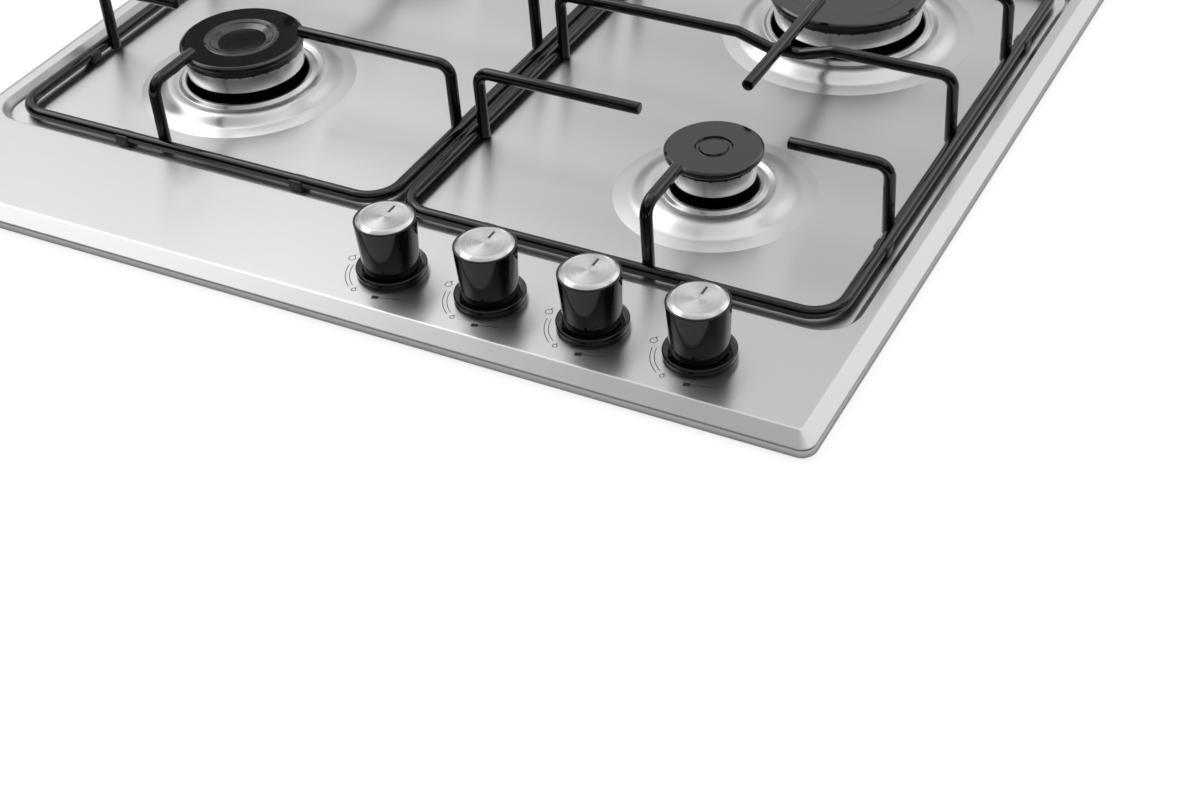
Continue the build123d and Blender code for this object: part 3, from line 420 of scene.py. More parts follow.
@dataclass(frozen=True)
class Moulding:
    """Matt moulded plastic, rubber or foam with a fine texture."""

    name: str
    colour: Colour
    smooth: float = 0.45
    rough: float = 0.65
    texture: float = 1200.0
    depth_mm: float = 0.03
    shade: float = 0.75

    def build(self) -> bpy.types.Material:
        """Makes the finish.

        Returns:
            The new material.
        """
        shader = Shader(self.name)
        texture = shader.noise(shader.place(), self.texture)
        darker = tuple(c * self.shade for c in self.colour[:3]) + (1.0,)
        return shader.principled({
            "Base Color": shader.blend(shader.spread(texture, 0.0, 1.0), darker, self.colour),
            "Roughness": shader.spread(texture, self.smooth, self.rough),
            "Normal": shader.bump(texture, self.depth_mm, strength=0.5),
        })


# the finish of each material slot in the record
FINISHES = {
    "brushed_top": BrushedSteel(),
    "zinc_steel": GrainedMetal("zinc_steel", (0.55, 0.56, 0.57, 1.0), blotch=60.0),
    "screw_steel": GrainedMetal("screw_steel", grey(0.6), 0.25, 0.4),
    "pin_steel": GrainedMetal("pin_steel", grey(0.6), 0.2, 0.35),
    "pipe_steel": GrainedMetal("pipe_steel", grey(0.6), 0.25, 0.4),
    "rail_aluminium": GrainedMetal("rail_aluminium", (0.74, 0.74, 0.75, 1.0), 0.3, 0.45),
    "tube_aluminium": GrainedMetal("tube_aluminium", (0.77, 0.77, 0.78, 1.0), 0.25, 0.4),
    "valve_casting": GrainedMetal(
        "valve_casting", (0.6, 0.6, 0.61, 1.0), 0.4, 0.6, 500.0, 80.0, 0.05,
    ),
    # painted shade: the cups are near-black metal so that the gap under each flame ring looks
    # shaded
    "cup_casting": GrainedMetal("cup_casting", grey(0.02), 0.4, 0.6, 500.0, 80.0, 0.05),
    "ring_aluminium": GrainedMetal("ring_aluminium", grey(0.8), 0.2, 0.35),
    "disc_aluminium": GrainedMetal("disc_aluminium", grey(0.85), 0.2, 0.3),
    "fitting_brass": GrainedMetal("fitting_brass", (0.75, 0.58, 0.28, 1.0), 0.2, 0.35),
    "spindle_brass": GrainedMetal("spindle_brass", (0.72, 0.56, 0.27, 1.0), 0.25, 0.4),
    "cap_enamel": GlossCoat("cap_enamel", grey(0.006), 0.07, 0.12, 1.6, 5.0, 0.006),
    "wire_enamel": GlossCoat("wire_enamel", grey(0.002), 0.06, 0.11, 1.5, 4.0, 0.006),
    "knob_black": GlossCoat("knob_black", grey(0.003), 0.04, 0.08, 1.5, 6.0, 0.002),
    "plug_ceramic": GlossCoat("plug_ceramic", (0.82, 0.81, 0.78, 1.0), 0.2, 0.35, 1.5),
    "case_plastic": Moulding("case_plastic", grey(0.03)),
    "strip_plastic": Moulding("strip_plastic", (0.8, 0.8, 0.78, 1.0)),
    "foam": Moulding("foam", grey(0.02), 0.8, 0.95, 700.0, 0.15),
    "foot_rubber": Moulding("foot_rubber", grey(0.03), 0.4, 0.55),
    "lead_rubber": Moulding("lead_rubber", (0.6, 0.6, 0.58, 1.0), 0.4, 0.55),
}
INK = Moulding("print_ink", grey(0.03), 0.35, 0.5, 2500.0, 0.004)


# ---------- shapes ----------
def eased(outline: Outline, steps: int = 5) -> list[tuple[float, float]]:
    """Rounds the corners of an open outline.

    Args:
        outline: points as two coordinates and the radius of the corner there.
        steps: straight pieces in each rounded corner.

    Returns:
        The points of the rounded outline.
    """
    points = []
    for index, (first, second, radius) in enumerate(outline):
        corner = Vector((first, second))
        if radius <= 0 or index in (0, len(outline) - 1):
            points.append(tuple(corner))
            continue
        before = Vector(outline[index - 1][:2]) - corner
        after = Vector(outline[index + 1][:2]) - corner
        half = before.angle(after) / 2
        reach = radius / math.tan(half)
        inward = (before.normalized() + after.normalized()).normalized()
        middle = corner + inward * (radius / math.sin(half))
        start = corner + before.normalized() * reach - middle
        end = corner + after.normalized() * reach - middle
        sweep = math.pi - 2 * half
        for step in range(steps + 1):
            share = step / steps
            first_part = math.sin((1 - share) * sweep) / math.sin(sweep)
            last_part = math.sin(share * sweep) / math.sin(sweep)
            points.append(tuple(middle + start * first_part + end * last_part))
    return points


class Workpiece:
    """A mesh in the making, in millimetres, which becomes one piece of the cooktop."""

    def __init__(self, name: str) -> None:
        """Starts an empty mesh with the piece's name."""
        self.name = name
        self.mesh = bmesh.new()

    def turn(self, outline: Iterable[tuple[float, float]], centre: Vector, steps: int = 96) -> None:
        """Turns an outline about an upright axis.

        Args:
            outline: its points as radii and heights.
            centre: a point on the axis.
            steps: the number of flats round the whole turn.
        """
        verts = [self.mesh.verts.new((centre.x + r, centre.y, z)) for r, z in outline]
        edges = [self.mesh.edges.new(pair) for pair in zip(verts, verts[1:])]
        bmesh.ops.spin(
            self.mesh, geom=verts + edges, cent=(centre.x, centre.y, 0), axis=tuple(UP),
            dvec=(0, 0, 0), angle=2 * math.pi, steps=steps, use_merge=True,
        )

    def take(self, node: str) -> None:
        """Takes over a CAD node's shape, whose loose triangles are joined when it is done.

        Args:
            node: the node's name.
        """
        source = frame["nodes"][node]
        self.mesh.from_mesh(source.data)
        bmesh.ops.transform(self.mesh, matrix=source.matrix_world, verts=self.mesh.verts[:])
        bmesh.ops.scale(self.mesh, vec=(1 / MM, 1 / MM, 1 / MM), verts=self.mesh.verts[:])

    def frame(
        self, low: Vector, high: Vector, radius: float, height: float,
    ) -> list[bmesh.types.BMEdge]:
        """Adds a level rounded rectangle of edges.

        Args:
            low: its lowest corner.
            high: its highest corner.
            radius: the radius of its corners.
            height: its height.

        Returns:
            Its edges.
        """
        middle, size = (low + high) / 2, high - low
        matrix = Matrix.Translation((middle.x, middle.y, height))
        matrix @= Matrix.Diagonal((size.x / 2, size.y / 2, 1, 1))
        made = bmesh.ops.create_grid(self.mesh, x_segments=1, y_segments=1, size=1.0, matrix=matrix)
        rounded = bmesh.ops.bevel(
            self.mesh, geom=made["verts"], offset=radius, offset_type="OFFSET", segments=10,
            profile=0.5, affect="VERTICES", material=-1,
        )
        edges = {edge for vert in rounded["verts"] for edge in vert.link_edges}
        faces = {face for edge in edges for face in edge.link_faces}
        bmesh.ops.delete(self.mesh, geom=list(faces), context="FACES_ONLY")
        return list(edges)

    def bridge(self, first: list[bmesh.types.BMEdge], second: list[bmesh.types.BMEdge]) -> None:
        """Joins two loops of edges by a band of faces."""
        bmesh.ops.bridge_loops(self.mesh, edges=first + second)

    def fill(self, edges: list[bmesh.types.BMEdge]) -> None:
        """Fills the level area between loops of edges.

        Args:
            edges: the edges of its border and of the holes in it.
        """
        bmesh.ops.triangle_fill(
            self.mesh, edges=edges, use_beauty=True, use_dissolve=False, normal=tuple(UP),
        )

    def done(
        self,
        body: str,
        material: bpy.types.Material,
        replaces: Sequence[str] = (),
        sharp: float = 40.0,
    ) -> bpy.types.Object:
        """Closes the mesh and makes it a piece of the cooktop.

        Args:
            body: the body that it rides on.
            material: its material.
            replaces: the CAD nodes that it stands for.
            sharp: edges that turn by more than this angle, in degrees, stay crisp.

        Returns:
            The new object.
        """
        bmesh.ops.remove_doubles(self.mesh, verts=self.mesh.verts[:], dist=1e-4)
        bmesh.ops.recalc_face_normals(self.mesh, faces=self.mesh.faces[:])
        bmesh.ops.scale(self.mesh, vec=(MM, MM, MM), verts=self.mesh.verts[:])
        data = bpy.data.meshes.new(self.name)
        self.mesh.to_mesh(data)
        self.mesh.free()
        data.shade_smooth()
        data.set_sharp_from_angle(angle=math.radians(sharp))
        for polygon in data.polygons:
            polygon.use_smooth = abs(polygon.normal.z) < LEVEL
        data.materials.append(material)
        piece = show(self.name, data)
        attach(piece, body)
        if replaces:
            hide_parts(*replaces)
        LOG.info("%s: %d faces on %s", self.name, len(data.polygons), body)
        return piece


class WireBender:
    """Bends one length of round wire after another inside a workpiece."""

    degrees_per_step = 9

    def __init__(self, piece: Workpiece, radius: float, sides: int = 24) -> None:
        """Takes the wire to hand.

        Args:
            piece: the workpiece that the wire is bent in.
            radius: the radius of the wire.
            sides: the number of flats round it.
        """
        self.mesh = piece.mesh
        self.radius = radius
        self.sides = sides
        self.edges: list[bmesh.types.BMEdge] = []
        self.at = Vector()
        self.along = Vector()

    def start(self, at: Vector, along: Vector) -> list[bmesh.types.BMEdge]:
        """Starts a wire.

        Args:
            at: the point that it starts from.
            along: the direction that it starts in.

        Returns:
            Its first ring of edges.
        """
        self.at, self.along = at.copy(), along.normalized()
        matrix = Matrix.Translation(at) @ self.along.to_track_quat("Z", "Y").to_matrix().to_4x4()
        made = bmesh.ops.create_circle(
            self.mesh, cap_ends=False, radius=self.radius, segments=self.sides, matrix=matrix,
        )
        self.edges = list({edge for vert in made["verts"] for edge in vert.link_edges})
        return self.edges

    def run(self, distance: float) -> None:
        """Draws the wire out straight.

        Args:
            distance: how far.
        """
        made = bmesh.ops.extrude_edge_only(self.mesh, edges=self.edges)["geom"]
        verts = [item for item in made if isinstance(item, bmesh.types.BMVert)]
        bmesh.ops.translate(self.mesh, vec=self.along * distance, verts=verts)
        ring = set(verts)
        drawn = [item for item in made if isinstance(item, bmesh.types.BMEdge)]
        self.edges = [edge for edge in drawn if set(edge.verts) <= ring]
        self.at += self.along * distance

    def bend(self, towards: Vector, radius: float) -> None:
        """Bends the wire round.

        Args:
            towards: its new direction.
            radius: the radius of the bend, at the middle of the wire.
        """
        towards = towards.normalized()
        axis = self.along.cross(towards).normalized()
        angle = self.along.angle(towards)
        centre = self.at + axis.cross(self.along) * radius
        steps = max(3, round(math.degrees(angle) / self.degrees_per_step))
        made = bmesh.ops.spin(
            self.mesh, geom=self.edges, cent=tuple(centre), axis=tuple(axis), dvec=(0, 0, 0),
            angle=angle, steps=steps, use_merge=False,
        )["geom_last"]
        self.edges = [item for item in made if isinstance(item, bmesh.types.BMEdge)]
        self.at = centre + Quaternion(axis, angle) @ (self.at - centre)
        self.along = towards

    def follow(self, points: Sequence[Vector], radius: float) -> None:
        """Draws the wire on through points, bent round at each inner one.

        Args:
            points: the point that it starts from, and those that it goes through.
            radius: the radius of each bend.
        """
        for index, corner in enumerate(points[1:-1], 1):
            after = (points[index + 1] - corner).normalized()
            setback = radius * math.tan(self.along.angle(after) / 2)
            self.run((corner - self.at).length - setback)
            self.bend(after, radius)
        self.run((points[-1] - self.at).length)

    def close(self, edges: list[bmesh.types.BMEdge], rounding: float) -> None:
        """Closes one end of the wire with a rounded face.

        Args:
            edges: the ring of edges at that end.
            rounding: the radius of the face's edge.
        """
        bmesh.ops.contextual_create(self.mesh, geom=edges)
        bmesh.ops.bevel(
            self.mesh, geom=edges, offset=rounding, offset_type="OFFSET", segments=3,
            profile=0.5, affect="EDGES", material=-1,
        )

    def length(self, points: Sequence[Vector], radius: float, rounding: float = 0.7) -> None:
        """Makes one length of wire, closed at both ends.

        Args:
            points: the points that it goes through.
            radius: the radius of each bend.
            rounding: the radius of the edge at its ends.
        """
        first = self.start(points[0], points[1] - points[0])
        self.follow(points, radius)
        self.close(self.edges, rounding)
        self.close(first, rounding)


# ---------- pressed top ----------
@dataclass
class PressedTop:
    """The pressed steel top: rim, flat band, well and four domes with raised collars."""

    top: float = 56.0
    sheet: float = 1.0
    rim: Outline = ((0.0, 46.2, 0.0), (0.0, 50.6, 1.9), (8.8, 55.98, 2.6), (10.4, 56.0, 0.0))
    rim_corner: float = 8.0
    rim_corner_least: float = 2.0
    well_low: tuple[float, float] = (-275.0, -168.5)
    well_high: tuple[float, float] = (275.0, 225.5)
    well_corner: float = 22.0
    well: Outline = ((-2.4, 0.0, 0.0), (0.0, -0.02, 1.2), (4.5, -5.98, 1.6), (9.0, -6.0, 0.0))
    well_depth: float = 6.0
    knob_hole: float = 8.4
    hole_gap: float = 0.8
    collar_width: float = 4.5
    collar_crest: float = 0.5
    foot_band: float = 7.0
    foot_rise: float = 1.1
    foot_slack: float = 0.01
    dome_steps: int = 12
    land: float = 6.0
    crest: float = -0.3
    valley: float = -1.4
    domes: dict[Place, float] = field(default_factory=lambda: {
        Place.FRONT_LEFT: 65.0, Place.REAR_LEFT: 65.0,
        Place.REAR_RIGHT: 78.0, Place.FRONT_RIGHT: 57.0,
    })

    def rim_loops(self, piece: Workpiece) -> list[bmesh.types.BMEdge]:
        """Makes the rim.

        Args:
            piece: the workpiece that it is made in.

        Returns:
            Its inner loop of edges.
        """
        low, high = (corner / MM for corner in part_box("top_panel"))
        last: list[bmesh.types.BMEdge] = []
        for inset, height in eased(self.rim):
            step = Vector((inset, inset, 0))
            corner = max(self.rim_corner_least, self.rim_corner - inset)
            loop = piece.frame(low + step, high - step, corner, height)
            if last:
                piece.bridge(last, loop)
            last = loop
        return last

    def well_loops(
        self, piece: Workpiece,
    ) -> tuple[list[bmesh.types.BMEdge], list[bmesh.types.BMEdge]]:
        """Makes the wall of the well.

        Args:
            piece: the workpiece that it is made in.

        Returns:
            Its upper and its lower loop of edges.
        """
        loops = []
        for inset, height in eased(self.well):
            step = Vector((inset, inset, 0))
            low = Vector((*self.well_low, 0)) + step
            high = Vector((*self.well_high, 0)) - step
            loops.append(piece.frame(low, high, self.well_corner - inset, self.top + height))
            if len(loops) > 1:
                piece.bridge(loops[-2], loops[-1])
        return loops[0], loops[-1]

    def dome_outline(self, place: Place) -> list[tuple[float, float]]:
        """Draws a dome from its foot in to the turned-down edge of its hole.

        Args:
            place: the burner that it carries.

        Returns:
            Its outline, as radii and heights.
        """
        ring = node_size(f"flame_ring_{place.value}").x / 2
        hole = ring + self.hole_gap
        collar = hole + self.collar_width
        foot, crown = self.domes[place] - self.foot_band, collar + self.land
        drop = self.foot_rise - self.well_depth
        outline = [(self.domes[place], self.top - self.well_depth)]
        for step in range(self.dome_steps + 1):
            share = step / self.dome_steps
            ease = share * share * (3 - 2 * share)
            height = self.top + drop + (self.crest - drop) * ease
            outline.append((foot + (crown - foot) * share, height))
        collar_line = (
            (crown - 0.4, self.crest, 0.0), (crown - 1.6, self.crest, 1.5),
            (collar + 0.8, self.valley, 1.2), (collar - 1.4, self.collar_crest, 0.9),
            (hole + 0.9, self.collar_crest, 0.8), (hole, -0.4, 0.3), (hole, -1.0, 0.0),
        )
        outline += [(radius, self.top + height) for radius, height in eased(collar_line, 3)]
        return outline

    def dome(self, piece: Workpiece, place: Place) -> list[bmesh.types.BMEdge]:
        """Makes a dome.

        Args:
            piece: the workpiece that it is made in.
            place: the burner that it carries.

        Returns:
            The loop of edges at its foot.
        """
        centre = node_middle(f"flame_ring_{place.value}")
        piece.turn(self.dome_outline(place), centre, 128)
        level = Vector((centre.x, centre.y, self.top - self.well_depth))
        reach = self.domes[place] - self.foot_slack
        feet = []
        for edge in piece.mesh.edges:
            ends = [vert.co - level for vert in edge.verts]
            flat = all(abs(end.z) < self.foot_slack for end in ends)
            if flat and all(reach < end.xy.length < reach + 2 * self.foot_slack for end in ends):
                feet.append(edge)
        return feet

    def knob_opening(self, piece: Workpiece, place: Place) -> list[bmesh.types.BMEdge]:
        """Adds the loop of edges round the hole for a knob.

        Args:
            piece: the workpiece that it is made in.
            place: the burner that the knob serves.

        Returns:
            The loop of edges.
        """
        centre = node_middle(f"knob_{place.value}")
        made = bmesh.ops.create_circle(
            piece.mesh, cap_ends=False, radius=self.knob_hole, segments=32,
            matrix=Matrix.Translation((centre.x, centre.y, self.top)),
        )
        return list({edge for vert in made["verts"] for edge in vert.link_edges})

    def build(self) -> None:
        """Makes the pressed top."""
        piece = Workpiece("pressed_top")
        rim = self.rim_loops(piece)
        upper, lower = self.well_loops(piece)
        holes = [edge for place in Place for edge in self.knob_opening(piece, place)]
        bands = bmesh.ops.bridge_loops(piece.mesh, edges=rim + upper)["faces"]
        front = min(bands, key=lambda face: face.calc_center_median().y)
        border = list(front.edges)
        bmesh.ops.delete(piece.mesh, geom=[front], context="FACES_ONLY")
        piece.fill(border + holes)
        feet = [edge for place in Place for edge in self.dome(piece, place)]
        piece.fill(lower + feet)
        steel = FINISHES["brushed_top"].build()
        top = piece.done("base", steel, ["top_panel"], sharp=50.0)
        if sum(face.normal.z * face.area for face in top.data.polygons) < 0:
            top.data.flip_normals()
        wall = top.modifiers.new("sheet", "SOLIDIFY")
        wall.thickness = self.sheet * MM
        wall.offset = -1.0
        even = top.modifiers.new("even_normals", "WEIGHTED_NORMAL")
        even.keep_sharp = True


# ---------- knobs ----------
@dataclass
class Knob:
    """A control knob: a black body with a spun disc, and a ring at its foot."""

    place: Place
    panel: float = 56.0
    foot: float = 60.6
    top: float = 90.3
    top_radius: float = 16.5
    foot_radius: float = 15.0
    wall: float = 2.2
    roof: float = 4.6
    hub: float = 6.6
    bore: float = 4.1
    disc_radius: float = 15.3
    disc_fit: float = 0.06
    disc_seat: float = 1.4
    disc_floor: float = 2.0
    disc_rise: float = 0.9
    disc_bevel: float = 1.8
    pointer: tuple[float, float] = (4.0, 10.2)
    pointer_width: float = 1.3
    pointer_height: float = 0.06
    bezel_radius: float = 18.9
    bezel_inner: float = 15.35
    bezel_hole: float = 9.5

    @property
    def centre(self) -> Vector:
        """The knob's axis, in millimetres."""
        return node_middle(f"knob_{self.place.value}")

    def body(self, material: bpy.types.Material) -> None:
        """Makes the hollow black body.

        Args:
            material: its material.
        """
        piece = Workpiece(f"knob_body_{self.place.value}")
        inside = self.foot_radius - self.wall
        roof, seat = self.top - self.roof, self.top - self.disc_seat
        floor, recess = seat - self.disc_floor, self.disc_radius + self.disc_fit
        outline = (
            (self.bore, floor, 0.0), (self.bore, self.foot + 0.4, 0.2),
            (self.hub, self.foot + 0.4, 0.2), (self.hub, roof, 0.6),
            (inside - 0.4, roof, 0.6), (inside, self.foot, 0.3),
            (self.foot_radius, self.foot, 0.5), (self.top_radius, self.top, 0.7),
            (recess, self.top, 0.15), (recess, seat, 0.0),
            (0.0, seat, 0.0), (0.0, floor, 0.0), (self.bore, floor, 0.0),
        )
        piece.turn(eased(outline), self.centre)
        piece.done(f"dial_{self.place.value}", material, [f"knob_{self.place.value}"])

    def disc(self) -> None:
        """Makes the spun disc in the top of the knob and the line printed on it."""
        centre = self.centre
        piece = Workpiece(f"knob_disc_spun_{self.place.value}")
        crown, seat = self.top + self.disc_rise, self.top - self.disc_seat
        edge = self.disc_radius - self.disc_bevel
        outline = (
            (0.0, seat, 0.0), (self.disc_radius, seat, 0.0),
            (self.disc_radius, self.top - 0.1, 0.15), (edge, crown + 0.1, 0.15),
            (edge - 0.3, crown - 0.15, 0.1), (edge - 0.6, crown, 0.1), (0.0, crown, 0.0),
        )
        piece.turn(eased(outline), centre)
        # painted reflection: the disc's fans paint three light and three dark wedges into its
        # colour
        spun = SpunMetal(
            f"spun_disc_{self.place.value}", tuple(centre), dark=0.50, light=0.68, smooth=0.20,
            rough=0.28, stretch=0.88, rings_per_mm=1.6, painted_fans=3, painted_fan_depth=0.5,
        )
        body, node = f"dial_{self.place.value}", f"knob_disc_{self.place.value}"
        piece.done(body, spun.build(), [node], sharp=30.0)
        line = Workpiece(f"knob_line_{self.place.value}")
        near, far = self.pointer
        matrix = Matrix.Translation((centre.x, centre.y + (near + far) / 2, crown + 0.02))
        matrix @= Matrix.Diagonal((self.pointer_width, far - near, self.pointer_height, 1))
        bmesh.ops.create_cube(line.mesh, size=1.0, matrix=matrix)
        line.done(body, INK.build())

    def bezel(self, piece: Workpiece) -> None:
        """Adds the ring at the knob's foot, with a groove round it.

        Args:
            piece: the workpiece that it is added to.
        """
        radius, inner, hole, foot = self.bezel_radius, self.bezel_inner, self.bezel_hole, self.panel
        outline = (
            (hole, foot, 0.0), (radius, foot, 0.2), (radius, foot + 1.7, 0.15),
            (radius - 0.5, foot + 1.8, 0.1), (radius - 0.5, foot + 2.3, 0.1),
            (radius, foot + 2.4, 0.15), (radius, foot + 4.8, 0.4), (radius - 0.6, foot + 5.4, 0.4),
            (radius - 1.2, foot + 5.2, 0.3), (inner, foot + 5.0, 0.15),
            (inner, foot + 1.2, 0.3), (hole, foot + 1.2, 0.2), (hole, foot, 0.0),
        )
        piece.turn(eased(outline, 4), self.centre, 112)


@dataclass
class PrintedMarks:
    """The plain symbols printed round the knobs: flames, a double arc and the burner's place."""

    top: float = 56.0
    ink: float = 0.03
    line: float = 0.42
    arcs: tuple[float, float] = (22.6, 24.8)
    arc_from: float = 188.0
    arc_sweep: float = 47.0
    large_flame: tuple[float, float, float] = (-26.4, 1.8, 2.1)
    small_flame: tuple[float, float, float] = (-10.4, -21.6, 1.4)
    flame_tip: tuple[float, float] = (0.35, 0.8)
    spot: tuple[float, float] = (3.6, -23.0)
    spot_size: tuple[float, float] = (3.6, 2.6)
    spot_turn: float = 14.0
    rule_length: float = 11.0
    rule_share: float = 0.9

    def arc(self, piece: Workpiece, centre: Vector, radius: float) -> None:
        """Adds part of a ring.

        Args:
            piece: the workpiece that it is added to.
            centre: the knob's axis.
            radius: the radius at the middle of the line.
        """
        angle = math.radians(self.arc_from)
        way = Vector((math.cos(angle), math.sin(angle), 0))
        level = Vector((centre.x, centre.y, self.top))
        sides = (radius + side * self.line / 2 for side in (-1, 1))
        verts = [piece.mesh.verts.new(level + way * reach) for reach in sides]
        edge = piece.mesh.edges.new(verts)
        bmesh.ops.spin(
            piece.mesh, geom=verts + [edge], cent=tuple(level), axis=tuple(UP), dvec=(0, 0, 0),
            angle=math.radians(self.arc_sweep), steps=24, use_merge=False,
        )

    def flame(self, piece: Workpiece, centre: Vector, size: tuple[float, float, float]) -> None:
        """Adds the outline of a flame.

        Args:
            piece: the workpiece that it is added to.
            centre: the knob's axis.
            size: how far it lies to the right and to the rear of that axis, and its radius.
        """
        x, y, radius = size
        made = bmesh.ops.create_circle(
            piece.mesh, cap_ends=True, radius=radius, segments=20,
            matrix=Matrix.Translation((centre.x + x, centre.y + y, self.top)),
        )["verts"]
        tip = max(made, key=lambda vert: vert.co.y)
        right, rear = self.flame_tip
        bmesh.ops.translate(piece.mesh, vec=(radius * right, radius * rear, 0), verts=[tip])
        face = tip.link_faces[0]
        bmesh.ops.inset_individual(
            piece.mesh, faces=[face], thickness=self.line, use_even_offset=True,
        )
        bmesh.ops.delete(piece.mesh, geom=[face], context="FACES_ONLY")

    def spot_and_rule(self, piece: Workpiece, centre: Vector) -> None:
        """Adds the filled spot for the burner's place and the thin rule beside it.

        Args:
            piece: the workpiece that they are added to.
            centre: the knob's axis.
        """
        x, y = self.spot
        width, depth = self.spot_size
        at = Vector((centre.x + x, centre.y + y, self.top))
        turn = Matrix.Rotation(math.radians(self.spot_turn), 4, "Z")
        rule = ((width + self.rule_length) / 2, self.rule_length, self.line * self.rule_share)
        for shift, long, wide in ((0.0, width, depth), rule):
            matrix = Matrix.Translation(at) @ turn @ Matrix.Translation((shift, 0, 0))
            matrix @= Matrix.Diagonal((long, wide, 1, 1))
            bmesh.ops.create_grid(piece.mesh, x_segments=1, y_segments=1, size=0.5, matrix=matrix)

    def build(self) -> None:
        """Makes all the marks as one thin layer of ink."""
        piece = Workpiece("printed_marks")
        for place in Place:
            centre = node_middle(f"knob_{place.value}")
            for radius in self.arcs:
                self.arc(piece, centre, radius)
            self.flame(piece, centre, self.large_flame)
            self.flame(piece, centre, self.small_flame)
            self.spot_and_rule(piece, centre)
        raised = bmesh.ops.extrude_face_region(piece.mesh, geom=piece.mesh.faces[:])["geom"]
        verts = [item for item in raised if isinstance(item, bmesh.types.BMVert)]
        bmesh.ops.translate(piece.mesh, vec=(0, 0, self.ink), verts=verts)
        piece.done("base", INK.build())


# ---------- burners ----------
# radius, drop below the cap's top and rounding, from outside in
SMALL_DISH: Outline = (
    (10.8, 0.0, 0.3), (10.0, 1.3, 0.4), (8.4, 1.3, 0.4), (7.6, 0.1, 0.5), (0.0, 0.1, 0.0),
)
MEDIUM_DISH: Outline = (
    (22.4, 0.0, 0.3), (21.6, -0.4, 0.3), (20.4, 0.2, 0.3), (19.4, 0.3, 0.3), (18.6, 0.9, 0.4),
    (14.6, 2.4, 1.2), (0.0, 2.6, 0.0),
)
LARGE_DISH: Outline = ((38.0, 0.0, 0.4), (37.2, 0.7, 0.4), (36.2, 0.4, 0.4), (0.0, 0.4, 0.0))


@dataclass
class Burner:
    """A burner: an enamelled cap on a turned flame ring."""

    place: Place
    dish: Outline
    ring_top: float = 72.5
    ring_wall: float = 4.0
    cap_height: float = 7.6
    cap_edge: float = 4.4
    neck_inset: float = 0.6
    skirt_gap: float = 0.4
    skirt_wall: float = 2.0
    skirt_depth: float = 1.8

    @property
    def centre(self) -> Vector:
        """The burner's axis, in millimetres."""
        return node_middle(f"flame_ring_{self.place.value}")

    @property
    def ring_radius(self) -> float:
        """The outside radius of the flame ring."""
        return node_size(f"flame_ring_{self.place.value}").x / 2

    @property
    def cap_radius(self) -> float:
        """The outside radius of the cap."""
        return node_size(f"burner_cap_{self.place.value}").x / 2

    def flame_ring(self) -> None:
        """Dresses the turned ring with its ports and the notch for the spark plug."""
        piece = Workpiece(f"flame_ring_turned_{self.place.value}")
        piece.take(f"flame_ring_{self.place.value}")
        # painted reflection: the ring's fans paint lighter and darker upright streaks into its
        # colour
        turned = SpunMetal(
            f"turned_ring_{self.place.value}", tuple(self.centre), dark=0.72, light=0.95,
            smooth=0.16, rough=0.26, stretch=0.7, rings_per_mm=1.2, painted_fans=7, painted_fan_depth=0.45,
        )
        body, node = f"ring_{self.place.value}", f"flame_ring_{self.place.value}"
        piece.done(body, turned.build(), [node], sharp=30.0)

    def cap(self, material: bpy.types.Material) -> None:
        """Makes the enamelled cap: a rounded rim, a shallow dish, a neck and a skirt.

        Args:
            material: its material.
        """
        foot, neck = self.ring_top, self.ring_radius - self.neck_inset
        top, radius = foot + self.cap_height, self.cap_radius
        rim = top - self.cap_edge
        outer = self.ring_radius - self.ring_wall - self.skirt_gap
        inner, low = outer - self.skirt_wall, foot - self.skirt_depth
        outline = (
            (0.0, foot, 0.0), (inner, foot, 0.3), (inner, low, 0.3), (outer, low, 0.3),
            (outer, foot, 0.3), (neck, foot, 0.2), (neck, rim - 0.6, 0.8), (radius - 1.2, rim, 0.8),
            (radius, rim + 1.2, 0.9), (radius, top - 1.0, 0.7), (radius - 1.6, top, 0.9),
            *((reach, top - drop, rounding) for reach, drop, rounding in self.dish),
        )
        name, node = f"cap_{self.place.value}", f"burner_cap_{self.place.value}"
        piece = Workpiece(name)
        piece.turn(eased(outline), self.centre, 120)
        piece.done(name, material, [node], sharp=55.0)


